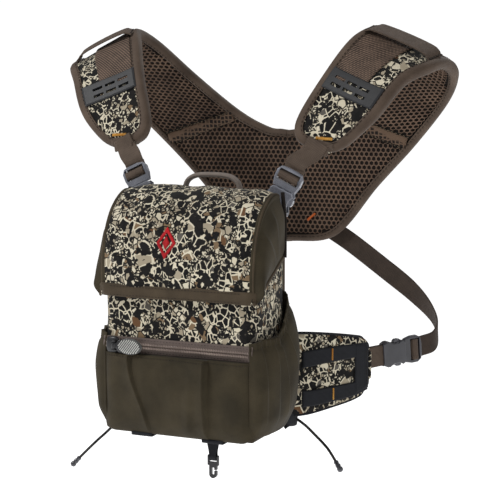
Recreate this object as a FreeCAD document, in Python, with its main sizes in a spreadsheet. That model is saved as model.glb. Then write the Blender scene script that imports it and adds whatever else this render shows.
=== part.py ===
import FreeCAD, Part
import math
import os
import re
import Sketcher
from FreeCAD import Vector

# Binocular harness pack, millimetres. +Z up, the wearer stands on the +Y side, the pack's front looks
# along -Y. The origin is the centre of the flat mesh face that rests on the chest.

SIZES = {
    "body_half": 72.5, "back_half": 66, "wall": 3, "front": -85.5, "back_front": -10, "back_rear": -6.3,
    "floor_low": -100, "floor_top": -96, "front_top": 26, "side_rear_top": 58, "back_top": 98,
    "mesh_half": 62, "mesh_low": -90, "mesh_top": 92, "ledge_low": 60, "ledge_front": -25,
    "taper_start": -28, "round_big": 14, "round_small": 2,
    "pocket_half": 70, "pocket_front": -92, "pocket_low": -98, "pocket_top": -33,
    "tape_left": -70, "tape_right": 70, "tape_low": -32, "tape_top": -19, "tape_front": -87.5,
    "teeth_front": -89, "teeth_half": 2.1, "zip_level": -25.5,
    "stretch_inner": 73, "stretch_outer": 79.5, "stretch_front": -83, "stretch_rear": -14,
    "stretch_low": -97, "stretch_front_top": -16, "stretch_rear_top": 26,
    "lid_half": 73.3, "lid_gap": 0.8, "lid_front": -89.2, "lid_skin": 2.8, "lid_low": 17, "lid_brow": 40,
    "lid_crown": 110, "lid_rear": -26, "lid_rear_top": 104, "lid_rear_low": 64, "gusset_rear_low": 50,
    "lip_half": 76, "lip_front": -92, "lip_height": 11, "lip_gap": 0.1,
    "slider_left": -64, "slider_length": 9, "slider_half": 4.5, "slider_front": -91.5, "slider_back": -89.3,
    "pull_pivot_x": -57, "pull_pivot_y": -94.3, "pull_length": 23.5, "pull_start": 2.5, "pull_half": 7.2,
    "pull_thick": 2.4, "eye_outer": 2.4, "eye_inner": 1.4, "eye_half": 2.5, "pin_radius": 1,
    "strap_width": 20, "strap_thick": 1.6, "pad_thick": 8, "lining_thick": 1.2,
    "cord_radius": 1.25, "cord_end_radius": 2.6, "cord_end_length": 11,
    "loop_radius": 3.5, "loop_half": 27, "loop_foot": 103.2, "loop_top": 119, "loop_depth": -13.9,
    "tether_half": 5.5, "fold_half": 3.4, "tether_thick": 1.8, "tether_top": -101.7,
    "tether_low": -138, "tether_depth": -14,
    "hook_bar": 1.5, "hook_loop": 3.3, "hook_low": -158,
    "female_length": 24, "buckle_half": 12, "female_half_thick": 4.5, "cavity_half": 2.5,
    "rail_inner": 10.2, "rail_top": -17, "bar_length": 3, "bar_half": 0.8,
    "male_start": 0.4, "male_length": 19, "male_half_thick": 2.5, "prong_half_thick": 1.9,
}

document = FreeCAD.newDocument("harness_pack")
sheet = document.addObject("Spreadsheet::Sheet", "Sizes")
for row, (alias, number) in enumerate(SIZES.items(), start=1):
    sheet.set(f"A{row}", alias)
    sheet.set(f"B{row}", str(number))
    sheet.setAlias(f"B{row}", alias)
document.recompute()

NODES = []


def bound(expression):
    """Write a sheet's aliases in full, as an expression outside the sheet needs them."""
    return re.sub(r"[a-z][a-z_]+", lambda word: "Sizes." + word.group(), str(expression))


def size(expression):
    """The number that an expression of aliases has now."""
    return float(sheet.evalExpression(bound(expression)))


# ---------------------------------------------------------------- ways of making a piece

def sketch(body, name, plane, outline, offset=0):
    """A closed outline on one of the body's own origin planes; each corner is tied to the sheet."""
    drawing = body.newObject("Sketcher::SketchObject", name)
    origin_plane = next(item for item in body.Origin.OriginFeatures if item.Role == plane)
    drawing.AttachmentSupport = [(origin_plane, "")]
    drawing.MapMode = "FlatFace"
    drawing.setExpression(".AttachmentOffset.Base.z", bound(offset))
    corners = [Vector(size(across), size(along), 0) for across, along in outline]
    count = len(corners)
    for index in range(count):
        drawing.addGeometry(Part.LineSegment(corners[index], corners[(index + 1) % count]), False)
    for index in range(count):
        drawing.addConstraint(Sketcher.Constraint("Coincident", index, 2, (index + 1) % count, 1))
    for index, (across, along) in enumerate(outline):
        corner = corners[index]
        for kind, place, text in (("DistanceX", corner.x, across), ("DistanceY", corner.y, along)):
            rule = drawing.addConstraint(Sketcher.Constraint(kind, -1, 1, index, 1, place))
            drawing.setExpression(f"Constraints[{rule}]", bound(text))
    return drawing


def pad(body, name, plane, outline, start, length):
    """Pad an outline away from its plane, from start over length, both measured along the normal."""
    drawing = sketch(body, f"{name}_outline", plane, outline, start)
    feature = body.newObject("PartDesign::Pad", name)
    feature.Profile = drawing
    feature.setExpression("Length", bound(length))
    drawing.Visibility = False
    return feature


def cut(body, name, plane, outline, start, length):
    """Cut an outline out of the body, from start over length against the plane's normal."""
    drawing = sketch(body, f"{name}_outline", plane, outline, start)
    feature = body.newObject("PartDesign::Pocket", name)
    feature.Profile = drawing
    feature.setExpression("Length", bound(length))
    return feature


def soften(body, name, radius, chosen):
    """Round the edges of the body's last shape for which chosen(edge) is true."""
    document.recompute()
    base = body.Tip
    edges = [f"Edge{index}" for index, edge in enumerate(base.Shape.Edges, start=1) if chosen(edge)]
    feature = body.newObject("PartDesign::Fillet", name)
    feature.Base = (base, edges)
    feature.setExpression("Radius", bound(radius))
    return feature


def along(axis):
    """A test for straight edges that run along one axis."""
    def test(edge):
        if edge.Curve.TypeId != "Part::GeomLine":
            return False
        return abs(abs(edge.Curve.Direction.dot(axis)) - 1) < 1e-6
    return test


def keep(thing, name):
    """Name an object as one of the pack's pieces."""
    thing.Label = name
    NODES.append(thing)
    return thing


def piece(name, plane, outline, start, length, radius=None, chosen=None):
    """A piece made by padding one outline, with rounded edges where asked."""
    body = document.addObject("PartDesign::Body", name)
    pad(body, f"{name}_pad", plane, outline, start, length)
    if radius:
        soften(body, f"{name}_round", radius, chosen)
    return keep(body, name)


def feature(name, shape, placement=None):
    """A piece whose lofted or grouped solids are worked out from the sheet here."""
    thing = document.addObject("Part::Feature", name)
    thing.Shape = shape
    if placement:
        thing.Placement = placement
    return keep(thing, name)


def block(low, high):
    """A box between two corners."""
    return Part.makeBox(high[0] - low[0], high[1] - low[1], high[2] - low[2], Vector(*low))


def mirrored(shape):
    """The same shape on the other side of the X = 0 plane."""
    return shape.mirror(Vector(0, 0, 0), Vector(1, 0, 0))


def pair(shape):
    """A right-hand shape and its left-hand mirror as one group."""
    return Part.makeCompound([shape, mirrored(shape)])


def rectangle(low_x, high_x, low_z, high_z):
    return [(low_x, low_z), (high_x, low_z), (high_x, high_z), (low_x, high_z)]


# ---------------------------------------------------------------- bag

def make_bag():
    """The bag's walls: boards and fabric panels that make one open compartment."""
    panel = [("-back_half", "floor_top"), ("back_half", "floor_top"), ("back_half", "back_top"),
             ("-back_half", "back_top")]
    piece("back_panel", "XZ_Plane", panel, "-back_rear", "back_rear - back_front", "round_big",
          lambda edge: along(Vector(0, 1, 0))(edge) and edge.Vertexes[0].Z > size("back_top - 1"))
    piece("back_mesh_pad", "XZ_Plane", rectangle("-mesh_half", "mesh_half", "mesh_low", "mesh_top"), 0,
          "-back_rear", "round_big", along(Vector(0, 1, 0)))
    piece("rear_ledge", "XY_Plane", rectangle("-mesh_half", "mesh_half", "ledge_front", "back_front"),
          "ledge_low", "wall")
    piece("front_panel", "XZ_Plane", rectangle("-body_half", "body_half", "floor_top", "front_top"),
          "-front - wall", "wall")
    plan = [("-body_half", "front"), ("body_half", "front"), ("body_half", "taper_start"),
            ("back_half", "back_rear"), ("-back_half", "back_rear"), ("-body_half", "taper_start")]
    piece("floor_panel", "XY_Plane", plan, "floor_low", "floor_top - floor_low", "round_small",
          lambda edge: edge.BoundBox.ZMax < size("floor_low + 1"))
    for side, sign in (("left", "-"), ("right", "")):
        make_side_panel(side, sign)
        make_side_pocket(side, -1 if sign else 1)


def make_side_panel(side, sign):
    """A side wall that turns in towards the back, its top edge rising from front to rear."""
    outer = [("body_half", "front + wall"), ("body_half", "taper_start"), ("back_half", "back_front")]
    inner = [("back_half - wall", "back_front"), ("body_half - wall", "taper_start"),
             ("body_half - wall", "front + wall")]
    outline = [(f"{sign}({across})", level) for across, level in outer + inner]
    body = document.addObject("PartDesign::Body", f"side_panel_{side}")
    pad(body, f"side_panel_{side}_pad", "XY_Plane", outline, "floor_top", "side_rear_top - floor_top")
    above = [("front", "front_top"), ("back_front + wall", "side_rear_top + wall"),
             ("front", "side_rear_top + wall")]
    cut(body, f"side_panel_{side}_slope", "YZ_Plane", above, "body_half + 10", "2 * body_half + 20")
    keep(body, f"side_panel_{side}")


def make_side_pocket(side, sign):
    """A stretch pocket lying closed against the side wall, its hem rising to the rear."""
    outline = [("stretch_front", "stretch_low"), ("stretch_rear", "stretch_low"),
               ("stretch_rear", "stretch_rear_top"), ("stretch_front", "stretch_front_top")]
    start = "stretch_inner" if sign > 0 else "-stretch_outer"
    piece(f"side_pocket_{side}", "YZ_Plane", outline, start, "stretch_outer - stretch_inner", "round_small",
          lambda edge: abs(edge.CenterOfMass.x - sign * size("stretch_outer")) < 0.01)


def make_front_pocket():
    """The zipped front pocket, lying flat, with its tape and its row of teeth."""
    front_face = size("pocket_front")
    piece("front_pocket", "XZ_Plane", rectangle("-pocket_half", "pocket_half", "pocket_low", "pocket_top"),
          "-front", "front - pocket_front", "round_small + 1",
          lambda edge: abs(edge.CenterOfMass.y - front_face) < 0.01)
    piece("zipper_tape", "XZ_Plane", rectangle("tape_left", "tape_right", "tape_low", "tape_top"),
          "-front", "front - tape_front")
    teeth = rectangle("tape_left + 3", "tape_right - 3", "zip_level - teeth_half", "zip_level + teeth_half")
    piece("zipper_teeth", "XZ_Plane", teeth, "-tape_front", "tape_front - teeth_front")


def make_zipper_slider():
    """The slider: a body in front of the teeth and two ears that hold the pull's pin."""
    body = document.addObject("PartDesign::Body", "zipper_slider")
    low = "zip_level - slider_half"
    high = "zip_level + slider_half"
    pad(body, "slider_body", "XZ_Plane", rectangle("slider_left", "slider_left + slider_length", low, high),
        "-slider_back", "slider_back - slider_front")
    for name, ear_low, ear_high in (("lower_ear", low, f"{low} + 1.6"), ("upper_ear", f"{high} - 1.6", high)):
        pad(body, name, "XZ_Plane", rectangle("pull_pivot_x - 2", "pull_pivot_x + 2", ear_low, ear_high),
            "-slider_front - 0.5", "slider_front - pull_pivot_y + 1.9")
    middle = [("pull_pivot_x", "pull_pivot_y")]
    pin = body.newObject("Sketcher::SketchObject", "pin_outline")
    origin_plane = next(item for item in body.Origin.OriginFeatures if item.Role == "XY_Plane")
    pin.AttachmentSupport = [(origin_plane, "")]
    pin.MapMode = "FlatFace"
    pin.setExpression(".AttachmentOffset.Base.z", bound(f"{low} + 1"))
    centre = Vector(size(middle[0][0]), size(middle[0][1]), 0)
    pin.addGeometry(Part.Circle(centre, Vector(0, 0, 1), size("pin_radius")), False)
    for kind, place, text in (("DistanceX", centre.x, middle[0][0]), ("DistanceY", centre.y, middle[0][1])):
        rule = pin.addConstraint(Sketcher.Constraint(kind, -1, 1, 0, 3, place))
        pin.setExpression(f"Constraints[{rule}]", bound(text))
    rule = pin.addConstraint(Sketcher.Constraint("Radius", 0, size("pin_radius")))
    pin.setExpression(f"Constraints[{rule}]", bound("pin_radius"))
    bar = body.newObject("PartDesign::Pad", "pin")
    bar.Profile = pin
    bar.setExpression("Length", bound("2 * slider_half - 2"))
    keep(body, "zipper_slider")


def make_zipper_pull():
    """The pull: an oval grip with an eye that turns on the slider's pin."""
    pivot = Vector(size("pull_pivot_x"), size("pull_pivot_y"), size("zip_level - eye_half"))
    height = size("2 * eye_half")
    ring = Part.makeCylinder(size("eye_outer"), height, pivot)
    hole = Part.makeCylinder(size("eye_inner"), height, pivot)
    half_thick = size("pull_thick / 2")
    neck = block((pivot.x + size("eye_inner") + 0.4, pivot.y - half_thick, pivot.z),
                 (pivot.x + size("pull_start") + 3, pivot.y + half_thick, pivot.z + height))
    half = size("pull_half")
    length = size("pull_length")
    grip = block((0, -half_thick, -half), (length, half_thick, half))
    grip = grip.makeFillet(half - 0.2, [edge for edge in grip.Edges if along(Vector(0, 1, 0))(edge)])
    grip.translate(Vector(pivot.x + size("pull_start"), pivot.y, size("zip_level")))
    feature("zipper_pull", ring.fuse([neck, grip]).cut(hole).removeSplitter())


# ---------------------------------------------------------------- lid

def make_lid():
    """The forward-opening hood: a skin bent over the bag, two side gussets, a bound lip, magnets."""
    outer = [("lid_front", "lid_low"), ("lid_front", "lid_brow"), ("lid_front + 19", "lid_crown - 18"),
             ("lid_rear - 20", "lid_crown"), ("lid_rear", "lid_rear_top"), ("lid_rear", "lid_rear_low")]
    inner = [("lid_rear - lid_skin", "lid_rear_low"), ("lid_rear - lid_skin", "lid_rear_top - 2.1"),
             ("lid_rear - 19.6", "lid_crown - 3"), ("lid_front + 21", "lid_crown - 20"),
             ("lid_front + lid_skin", "lid_brow - 0.5"), ("lid_front + lid_skin", "lid_low")]
    piece("lid_shell", "YZ_Plane", outer + inner, "-lid_half", "2 * lid_half")
    side = outer[:5] + [("lid_rear", "gusset_rear_low")]
    plates = []
    for start in ("lid_half", "-lid_half - lid_skin"):
        corners = [Vector(size(start), size(depth), size(level)) for depth, level in side]
        plate = Part.Face(Part.makePolygon(corners + corners[:1]))
        plates.append(plate.extrude(Vector(size("lid_skin"), 0, 0)))
    feature("lid_gussets", Part.makeCompound(plates))
    piece("lid_lip", "XZ_Plane", rectangle("-lip_half", "lip_half", "lid_low", "lid_low + lip_height"),
          "-lid_front", "lid_front - lip_front", "round_small / 2", along(Vector(1, 0, 0)))
    make_magnets()


def make_magnets():
    """Two disc magnets in the lid's rear flap and two more that meet them on the ledge."""
    across = 40
    level = size("lid_rear_low + 5")
    rear = size("lid_rear")
    thick = size("wall / 2")
    lid_side = [Part.makeCylinder(4, thick, Vector(sign * across, rear - size("lid_skin") - thick, level),
                                  Vector(0, 1, 0)) for sign in (-1, 1)]
    feature("lid_magnets", Part.makeCompound(lid_side))
    ledge = size("ledge_low + wall")
    body_side = [Part.makeCylinder(3, thick, Vector(sign * across, size("ledge_front") + 5, ledge))
                 for sign in (-1, 1)]
    feature("body_magnets", Part.makeCompound(body_side))


# ---------------------------------------------------------------- harness

# Right-hand pad, from its front tip over the shoulder to the middle of the back: the edge beside the
# neck and the edge beside the arm.
PAD_STATIONS = [
    ((78, -1, 146), (110, 4, 138)),
    ((74, 6, 166), (142, 8, 168)),
    ((91, 26, 205), (163, 26, 200)),
    ((108, 52, 238), (180, 50, 212)),
    ((122, 80, 248), (186, 82, 216)),
    ((116, 112, 236), (186, 112, 206)),
    ((90, 140, 204), (170, 138, 182)),
    ((52, 158, 170), (134, 156, 142)),
    ((22, 164, 154), (94, 162, 100)),
    ((8, 165, 152), (50, 165, 50)),
]
YOKE_LOWEST = 42
CREST = 4
LAST = len(PAD_STATIONS) - 1


def pad_frame(index):
    """The two edges of a station and the outward normal there."""
    inner, outer = (Vector(*point) for point in PAD_STATIONS[index])
    if index == LAST:
        return inner, outer, Vector(0, 1, 0)
    before = [Vector(*point) for point in PAD_STATIONS[max(index - 1, 0)]]
    after = [Vector(*point) for point in PAD_STATIONS[min(index + 1, LAST)]]
    forward = (after[0] + after[1]) - (before[0] + before[1])
    return inner, outer, (outer - inner).cross(forward).normalize()


def pad_section(place, low, high, near, far):
    """A closed cross-section: place along the stations, heights off the middle, fractions across."""
    index = min(int(place), LAST - 1)
    part = place - index
    first = pad_frame(index)
    second = pad_frame(index + 1)
    inner = first[0] * (1 - part) + second[0] * part
    outer = first[1] * (1 - part) + second[1] * part
    normal = (first[2] * (1 - part) + second[2] * part).normalize()
    left = inner + (outer - inner) * near
    right = inner + (outer - inner) * far
    corners = [left + normal * low, right + normal * low, right + normal * high, left + normal * high]
    return Part.makePolygon(corners + corners[:1])


def pad_strip(places, low, high, near=0, far=1):
    """A solid strip along the pad; low and high may differ from place to place."""
    lows = low if isinstance(low, list) else [low] * len(places)
    highs = high if isinstance(high, list) else [high] * len(places)
    sections = [pad_section(*row, near, far) for row in zip(places, lows, highs)]
    return Part.makeLoft(sections, True, True)


def make_pads():
    """The shoulder pads, the yoke between them, the mesh that lines both and the webbing on top."""
    half = size("pad_thick / 2")
    lining = size("lining_thick")
    shoulder = pad_strip(list(range(CREST + 1)), -half, half)
    feature("shoulder_pad_right", shoulder)
    feature("shoulder_pad_left", mirrored(shoulder))
    back = pad_strip(list(range(CREST, LAST + 1)), -half, half)
    feature("yoke_pad", back.fuse([mirrored(back), yoke_plate(-half, half)]))
    skin = pad_strip(list(range(LAST + 1)), -half - lining, -half)
    feature("mesh_lining", skin.fuse([mirrored(skin), yoke_plate(-half - lining, -half)]))
    over = half + size("strap_thick")
    feature("wide_webbing", pair(pad_strip([2, 3, 4, 4.6], half, over, 0.12, 0.6)))
    feature("lash_patches", pair(pad_strip([1.45, 1.95], half, half + 2, 0.1, 0.86)))
    keeper = [3.2, 3.7]
    bridge = pad_strip(keeper, over + 2.2, over + 3.6, 0.04, 0.92)
    posts = [pad_strip(keeper, half + 0.1, over + 3, *ends) for ends in ((0.045, 0.105), (0.85, 0.915))]
    feature("crest_loops", pair(bridge.fuse(posts)))


def yoke_plate(low, high):
    """The middle of the yoke, flat between the two last stations."""
    inner, outer = PAD_STATIONS[LAST]
    depth = inner[1]
    outline = [(-inner[0], inner[2]), (inner[0], inner[2]), (outer[0], outer[2]), (0, YOKE_LOWEST),
               (-outer[0], outer[2])]
    corners = [Vector(across, depth + low, level) for across, level in outline]
    return Part.Face(Part.makePolygon(corners + corners[:1])).extrude(Vector(0, high - low, 0))


def ribbon(stations, width, thick):
    """A flat strap through places, each with the direction of its width."""
    places = [place for place, _ in stations]
    sections = []
    for index, (place, across) in enumerate(stations):
        ahead = places[min(index + 1, len(places) - 1)]
        behind = places[max(index - 1, 0)]
        forward = (ahead - behind).normalize()
        side = (across - forward * across.dot(forward)).normalize() * (width / 2)
        normal = forward.cross(side).normalize() * (thick / 2)
        corners = [place - side - normal, place + side - normal, place + side + normal, place - side + normal]
        sections.append(Part.makePolygon(corners + corners[:1]))
    return Part.makeLoft(sections, True, True)


# ---------------------------------------------------------------- waist wings

# Right-hand wing in plan, with its top and bottom edge at each place.
WING_STATIONS = [(68, -8, -20, -95), (84, 6, -21, -94), (100, 25, -24, -90), (113, 45, -28, -86),
                 (122, 61.5, -32, -80)]


def wing_strip(places, low, high, near=0, far=1):
    """A strip of the wing: heights off its middle, near and far as fractions from top to bottom edge."""
    sections = []
    last = len(WING_STATIONS) - 1
    for place in places:
        index = min(int(place), last - 1)
        part = place - index
        across, depth, top, bottom = (first * (1 - part) + second * part for first, second in
                                      zip(WING_STATIONS[index], WING_STATIONS[index + 1]))
        ahead = WING_STATIONS[min(round(place) + 1, last)]
        behind = WING_STATIONS[max(round(place) - 1, 0)]
        forward = Vector(ahead[0] - behind[0], ahead[1] - behind[1], 0).normalize()
        normal = Vector(forward.y, -forward.x, 0)
        upper = Vector(across, depth, top + (bottom - top) * near)
        lower = Vector(across, depth, top + (bottom - top) * far)
        corners = [upper + normal * low, lower + normal * low, lower + normal * high, upper + normal * high]
        sections.append(Part.makePolygon(corners + corners[:1]))
    return Part.makeLoft(sections, True, True)


def make_wings():
    """The padded wings, and on their outer faces two bands of webbing joined by a third at the tip."""
    wing = wing_strip([0, 1, 2, 3, 4], -3, 3)
    feature("wing_right", wing)
    feature("wing_left", mirrored(wing))
    bands = [wing_strip([1.2, 2, 3], 3.1, 4.5, near, far) for near, far in ((0.14, 0.33), (0.7, 0.89))]
    bands.append(wing_strip([3, 3.6], 3.1, 4.5, 0.14, 0.89))
    feature("wing_webbing", Part.makeCompound(bands + [mirrored(band) for band in bands]))


# ---------------------------------------------------------------- buckles

# Each buckle's mouth and the way its two halves part; the right-hand ones, mirrored for the left.
BUCKLES = {
    "shoulder": (Vector(70.5, -17.9, 108.5), Vector(0.41, 0.05, 0.91), Vector(0, -1, 0)),
    "side": (Vector(145.9, 91.5, -47.2), Vector(0.617, 0.782, 0.082), Vector(0.782, -0.617, 0)),
}


def buckle_placement(kind, sign):
    """Local Z runs from the female to the male half, local Y looks outwards."""
    mouth, way, outward = BUCKLES[kind]
    flip = Vector(sign, 1, 1)
    mouth, way, outward = (Vector(item.x * flip.x, item.y, item.z) for item in (mouth, way, outward))
    way.normalize()
    outward = (outward - way * outward.dot(way)).normalize()
    width = outward.cross(way)
    matrix = FreeCAD.Matrix(width.x, outward.x, way.x, mouth.x, width.y, outward.y, way.y, mouth.y,
                            width.z, outward.z, way.z, mouth.z, 0, 0, 0, 1)
    return FreeCAD.Placement(matrix)


def female_half(name, placement):
    """A sleeve, open at its mouth and sides, with a webbing bar across its closed-sided tail."""
    body = document.addObject("PartDesign::Body", name)
    half = "buckle_half"
    side = [(f"{half} - 2", "-female_length"), (half, "-female_length + 4"), (half, "rail_top - 0.5"),
            (f"{half} - 2.4", "-13"), (f"{half} - 2.4", "-7"), (f"{half} - 0.4", "-3"),
            (f"{half} - 2.5", "0")]
    outline = side + [(f"-({across})", level) for across, level in reversed(side)]
    pad(body, f"{name}_shell", "XZ_Plane", outline, "-female_half_thick", "2 * female_half_thick")
    soften(body, f"{name}_edges", "round_small / 2",
           lambda edge: abs(abs(edge.CenterOfMass.y) - size("female_half_thick")) < 0.01)
    throat = rectangle("-cavity_half", "cavity_half", "-female_length - 1", "rail_top")
    cut(body, f"{name}_throat", "YZ_Plane", throat, "rail_inner", "2 * rail_inner")
    mouth = rectangle("-cavity_half", "cavity_half", "rail_top", "1")
    cut(body, f"{name}_mouth", "YZ_Plane", mouth, f"{half} + 1", f"2 * {half} + 2")
    bar = rectangle("-bar_half", "bar_half", "-female_length", "-female_length + bar_length")
    pad(body, f"{name}_bar", "YZ_Plane", bar, "-rail_inner - 0.5", "2 * rail_inner + 1")
    window = rectangle("-5", "5", "-13", "-4.5")
    cut(body, f"{name}_window", "XZ_Plane", window, "female_half_thick + 1", "female_half_thick")
    body.Placement = placement
    keep(body, name)


def male_half(name, placement):
    """A ladder frame with two webbing slots and the tongue that guides it into the sleeve."""
    body = document.addObject("PartDesign::Body", name)
    half = "buckle_half"
    top = "male_length"
    outline = [(f"-{half} + 1", "male_start"), (f"{half} - 1", "male_start"),
               (f"{half} + 0.8", "male_start + 7"), (f"{half} + 0.8", f"{top} - 5"),
               (f"{half} - 2", f"{top} - 1"), (f"{half} - 7", top), (f"-{half} + 7", top),
               (f"-{half} + 2", f"{top} - 1"), (f"-{half} - 0.8", f"{top} - 5"),
               (f"-{half} - 0.8", "male_start + 7")]
    pad(body, f"{name}_frame", "XZ_Plane", outline, "-male_half_thick", "2 * male_half_thick")
    soften(body, f"{name}_edges", "round_small / 2",
           lambda edge: abs(abs(edge.CenterOfMass.y) - size("male_half_thick")) < 0.01)
    for label, low, high in (("lower_slot", "6.2", "10.2"), ("upper_slot", "12.6", f"{top} - 2.6")):
        cut(body, f"{name}_{label}", "XZ_Plane", rectangle("-rail_inner", "rail_inner", low, high),
            "male_half_thick + 1", "2 * male_half_thick + 2")
    tongue = rectangle("-1.6", "1.6", "-11.5", "male_start + 1")
    pad(body, f"{name}_tongue", "XZ_Plane", tongue, "-1.5", "3")
    body.Placement = placement
    keep(body, name)


def prong(name, placement, sign):
    """A spring arm with a ribbed head that a finger presses inwards."""
    outline = [(5.2, 0.1), (8.2, 0.1), (8.6, -4.2), (12.4, -5.2), (12.9, -7.5), (12.4, -8.4), (12.9, -9.3),
               (12.4, -10.2), (11.6, -11.4), (8.6, -12), (6.2, -12), (5.8, -5)]
    body = document.addObject("PartDesign::Body", name)
    pad(body, f"{name}_arm", "XZ_Plane", [(sign * across, level) for across, level in outline],
        "-prong_half_thick", "2 * prong_half_thick")
    body.Placement = placement
    keep(body, name)


def webbing_tab(end):
    """Webbing folded round a female half's bar: two layers that lie either side of the bar."""
    half = size("strap_width / 2") - 0.2
    fold = size("-female_length + bar_length") + 0.2
    gap = size("bar_half") + 0.15
    outer = size("cavity_half") - 0.3
    front = block((-half, gap, end), (half, outer, fold + 1.3))
    rear = block((-half, -outer, end), (half, -gap, fold + 1.3))
    fold_over = block((-half, -outer, fold), (half, outer, fold + 1.3))
    return front.fuse([rear, fold_over]).removeSplitter()


def webbing_wrap():
    """Webbing threaded round a male half's middle bar, with the tail that leaves behind the frame."""
    half = size("strap_width / 2") - 0.2
    near = size("male_half_thick") + 0.15
    far = near + 1.2
    ring = block((-half, -far, 8.8), (half, far, 14))
    hole = block((-half, -near, 10), (half, near, 12.8))
    tail = block((-half, -far, 8.8), (half, -near, size("male_length") + 1))
    return ring.cut(hole).fuse(tail).removeSplitter()


def placed(shape, placement):
    """A copy of a shape made in a buckle's own frame, moved to where the buckle is."""
    copy = shape.copy()
    copy.Placement = placement
    return copy


def make_buckles():
    """Four side-release buckles of one pattern, two at the shoulders and two on the side straps."""
    for kind in BUCKLES:
        for side, sign in (("left", -1), ("right", 1)):
            placement = buckle_placement(kind, sign)
            name = f"{kind}_buckle_{side}"
            female_half(f"{name}_female", placement)
            male_half(f"{name}_male", placement)
            prong(f"{name}_prong_outer", placement, -1)
            prong(f"{name}_prong_inner", placement, 1)


def make_straps():
    """The straps between the buckles, the pads, the wings and the yoke."""
    tail_depth = -size("male_half_thick") - 0.75
    tail_end = size("male_length") + 1
    shoulder = buckle_placement("shoulder", 1)
    side = buckle_placement("side", 1)
    across_shoulder = shoulder.Rotation.multVec(Vector(-1, 0, 0))
    across_side = side.Rotation.multVec(Vector(-1, 0, 0))
    thick = size("strap_thick") * 0.75
    width = size("strap_width") - 0.4
    start = shoulder.multVec(Vector(0, tail_depth, tail_end))
    upper = ribbon([(start, across_shoulder), (Vector(86, -7.5, 134.5), Vector(1, 0.1, -0.3)),
                    (Vector(93.5, -3.2, 143), Vector(1, 0.15, -0.25)),
                    (Vector(98, -2.6, 152), Vector(1, 0.05, -0.15))], width, thick)
    wraps = [placed(webbing_wrap(), buckle_placement("shoulder", sign)) for sign in (-1, 1)]
    feature("shoulder_webbing", Part.makeCompound([upper, mirrored(upper)] + wraps))
    tabs = [placed(webbing_tab(-43), buckle_placement("shoulder", sign)) for sign in (-1, 1)]
    feature("anchor_tabs", Part.makeCompound(tabs))
    wing_tabs = [placed(webbing_tab(-37), buckle_placement("side", sign)) for sign in (-1, 1)]
    feature("wing_straps", Part.makeCompound(wing_tabs))
    start = side.multVec(Vector(0, tail_depth, tail_end))
    route = [(start, across_side), (Vector(165, 124, -42), Vector(0, 0, 1)),
             (Vector(164, 139, -32), Vector(-0.1, -0.2, 1)), (Vector(153, 152, -19), Vector(0.1, -0.1, 1)),
             (Vector(130, 162, -1), Vector(0.35, 0, 1)), (Vector(98, 168, 20), Vector(0.5, 0, 1)),
             (Vector(66, 170.4, 41), Vector(0.55, 0, 1)), (Vector(44, 170.4, 55), Vector(0.6, 0, 1))]
    strap = ribbon(route, width, thick)
    feature("side_strap_right", strap.fuse(placed(webbing_wrap(), side)))
    feature("side_strap_left", mirrored(strap).fuse(placed(webbing_wrap(), buckle_placement("side", -1))))


# ---------------------------------------------------------------- trim, loops and cords

def make_bottom_trim():
    """Two webbing runners under the floor and a loop of webbing at each rear bottom corner."""
    low = size("floor_low") - 3
    runner = block((24, -80, low), (44, -12, size("floor_low")))
    feature("bottom_webbing", pair(runner))
    tab = block((64, -5.8, -106), (77, -2.8, -95.4))
    feature("cord_tabs", pair(tab))


def tube(points, radius):
    """A cord: straight runs joined by arcs as large as the runs allow."""
    corners = [Vector(*point) for point in points]
    edges = []
    start = corners[0]
    radii = []
    for index in range(1, len(corners) - 1):
        before = (corners[index] - corners[index - 1])
        after = (corners[index + 1] - corners[index])
        half_turn = before.getAngle(after) / 2
        reach = 0.45 * min(before.Length, after.Length)
        radii.append(reach / math.tan(half_turn))
        before.normalize()
        after.normalize()
        enter = corners[index] - before * reach
        leave = corners[index] + after * reach
        towards = (after - before).normalize()
        middle = corners[index] + towards * (radii[-1] / math.cos(half_turn) - radii[-1])
        edges.append(Part.LineSegment(start, enter).toShape())
        edges.append(Part.Arc(enter, middle, leave).toShape())
        start = leave
    edges.append(Part.LineSegment(start, corners[-1]).toShape())
    path = Part.Wire(edges)
    opening = Part.Circle(corners[0], corners[1] - corners[0], radius).toShape()
    solid = path.makePipeShell([Part.Wire([opening])], True, True)
    print("cord radii", [round(value, 1) for value in radii], "length", round(path.Length, 1),
          "volume ratio", round(solid.Volume / (math.pi * radius ** 2 * path.Length), 4))
    return solid


CORD_ROUTES = {
    "right": [(77.7, -4.3, -97.5), (86, -7, -100.5), (97, -12, -107), (109, -19, -113), (117, -24, -118),
              (124.5, -29.5, -125)],
    "left": [(-77.7, -4.3, -97.5), (-85, -8, -101), (-95, -13, -110), (-105.5, -18, -122.5),
             (-119, -26, -136), (-130.5, -31.5, -149)],
}


def make_cords():
    """An elastic cord from each rear bottom corner, with a moulded end."""
    for side, route in CORD_ROUTES.items():
        feature(f"cord_{side}", tube(route, size("cord_radius")))
        end = Vector(*route[-1])
        way = end - Vector(*route[-2])
        feature(f"cord_end_{side}", Part.makeCone(size("cord_end_radius - 0.5"), size("cord_end_radius"),
                                                  size("cord_end_length"), end, way))


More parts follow.
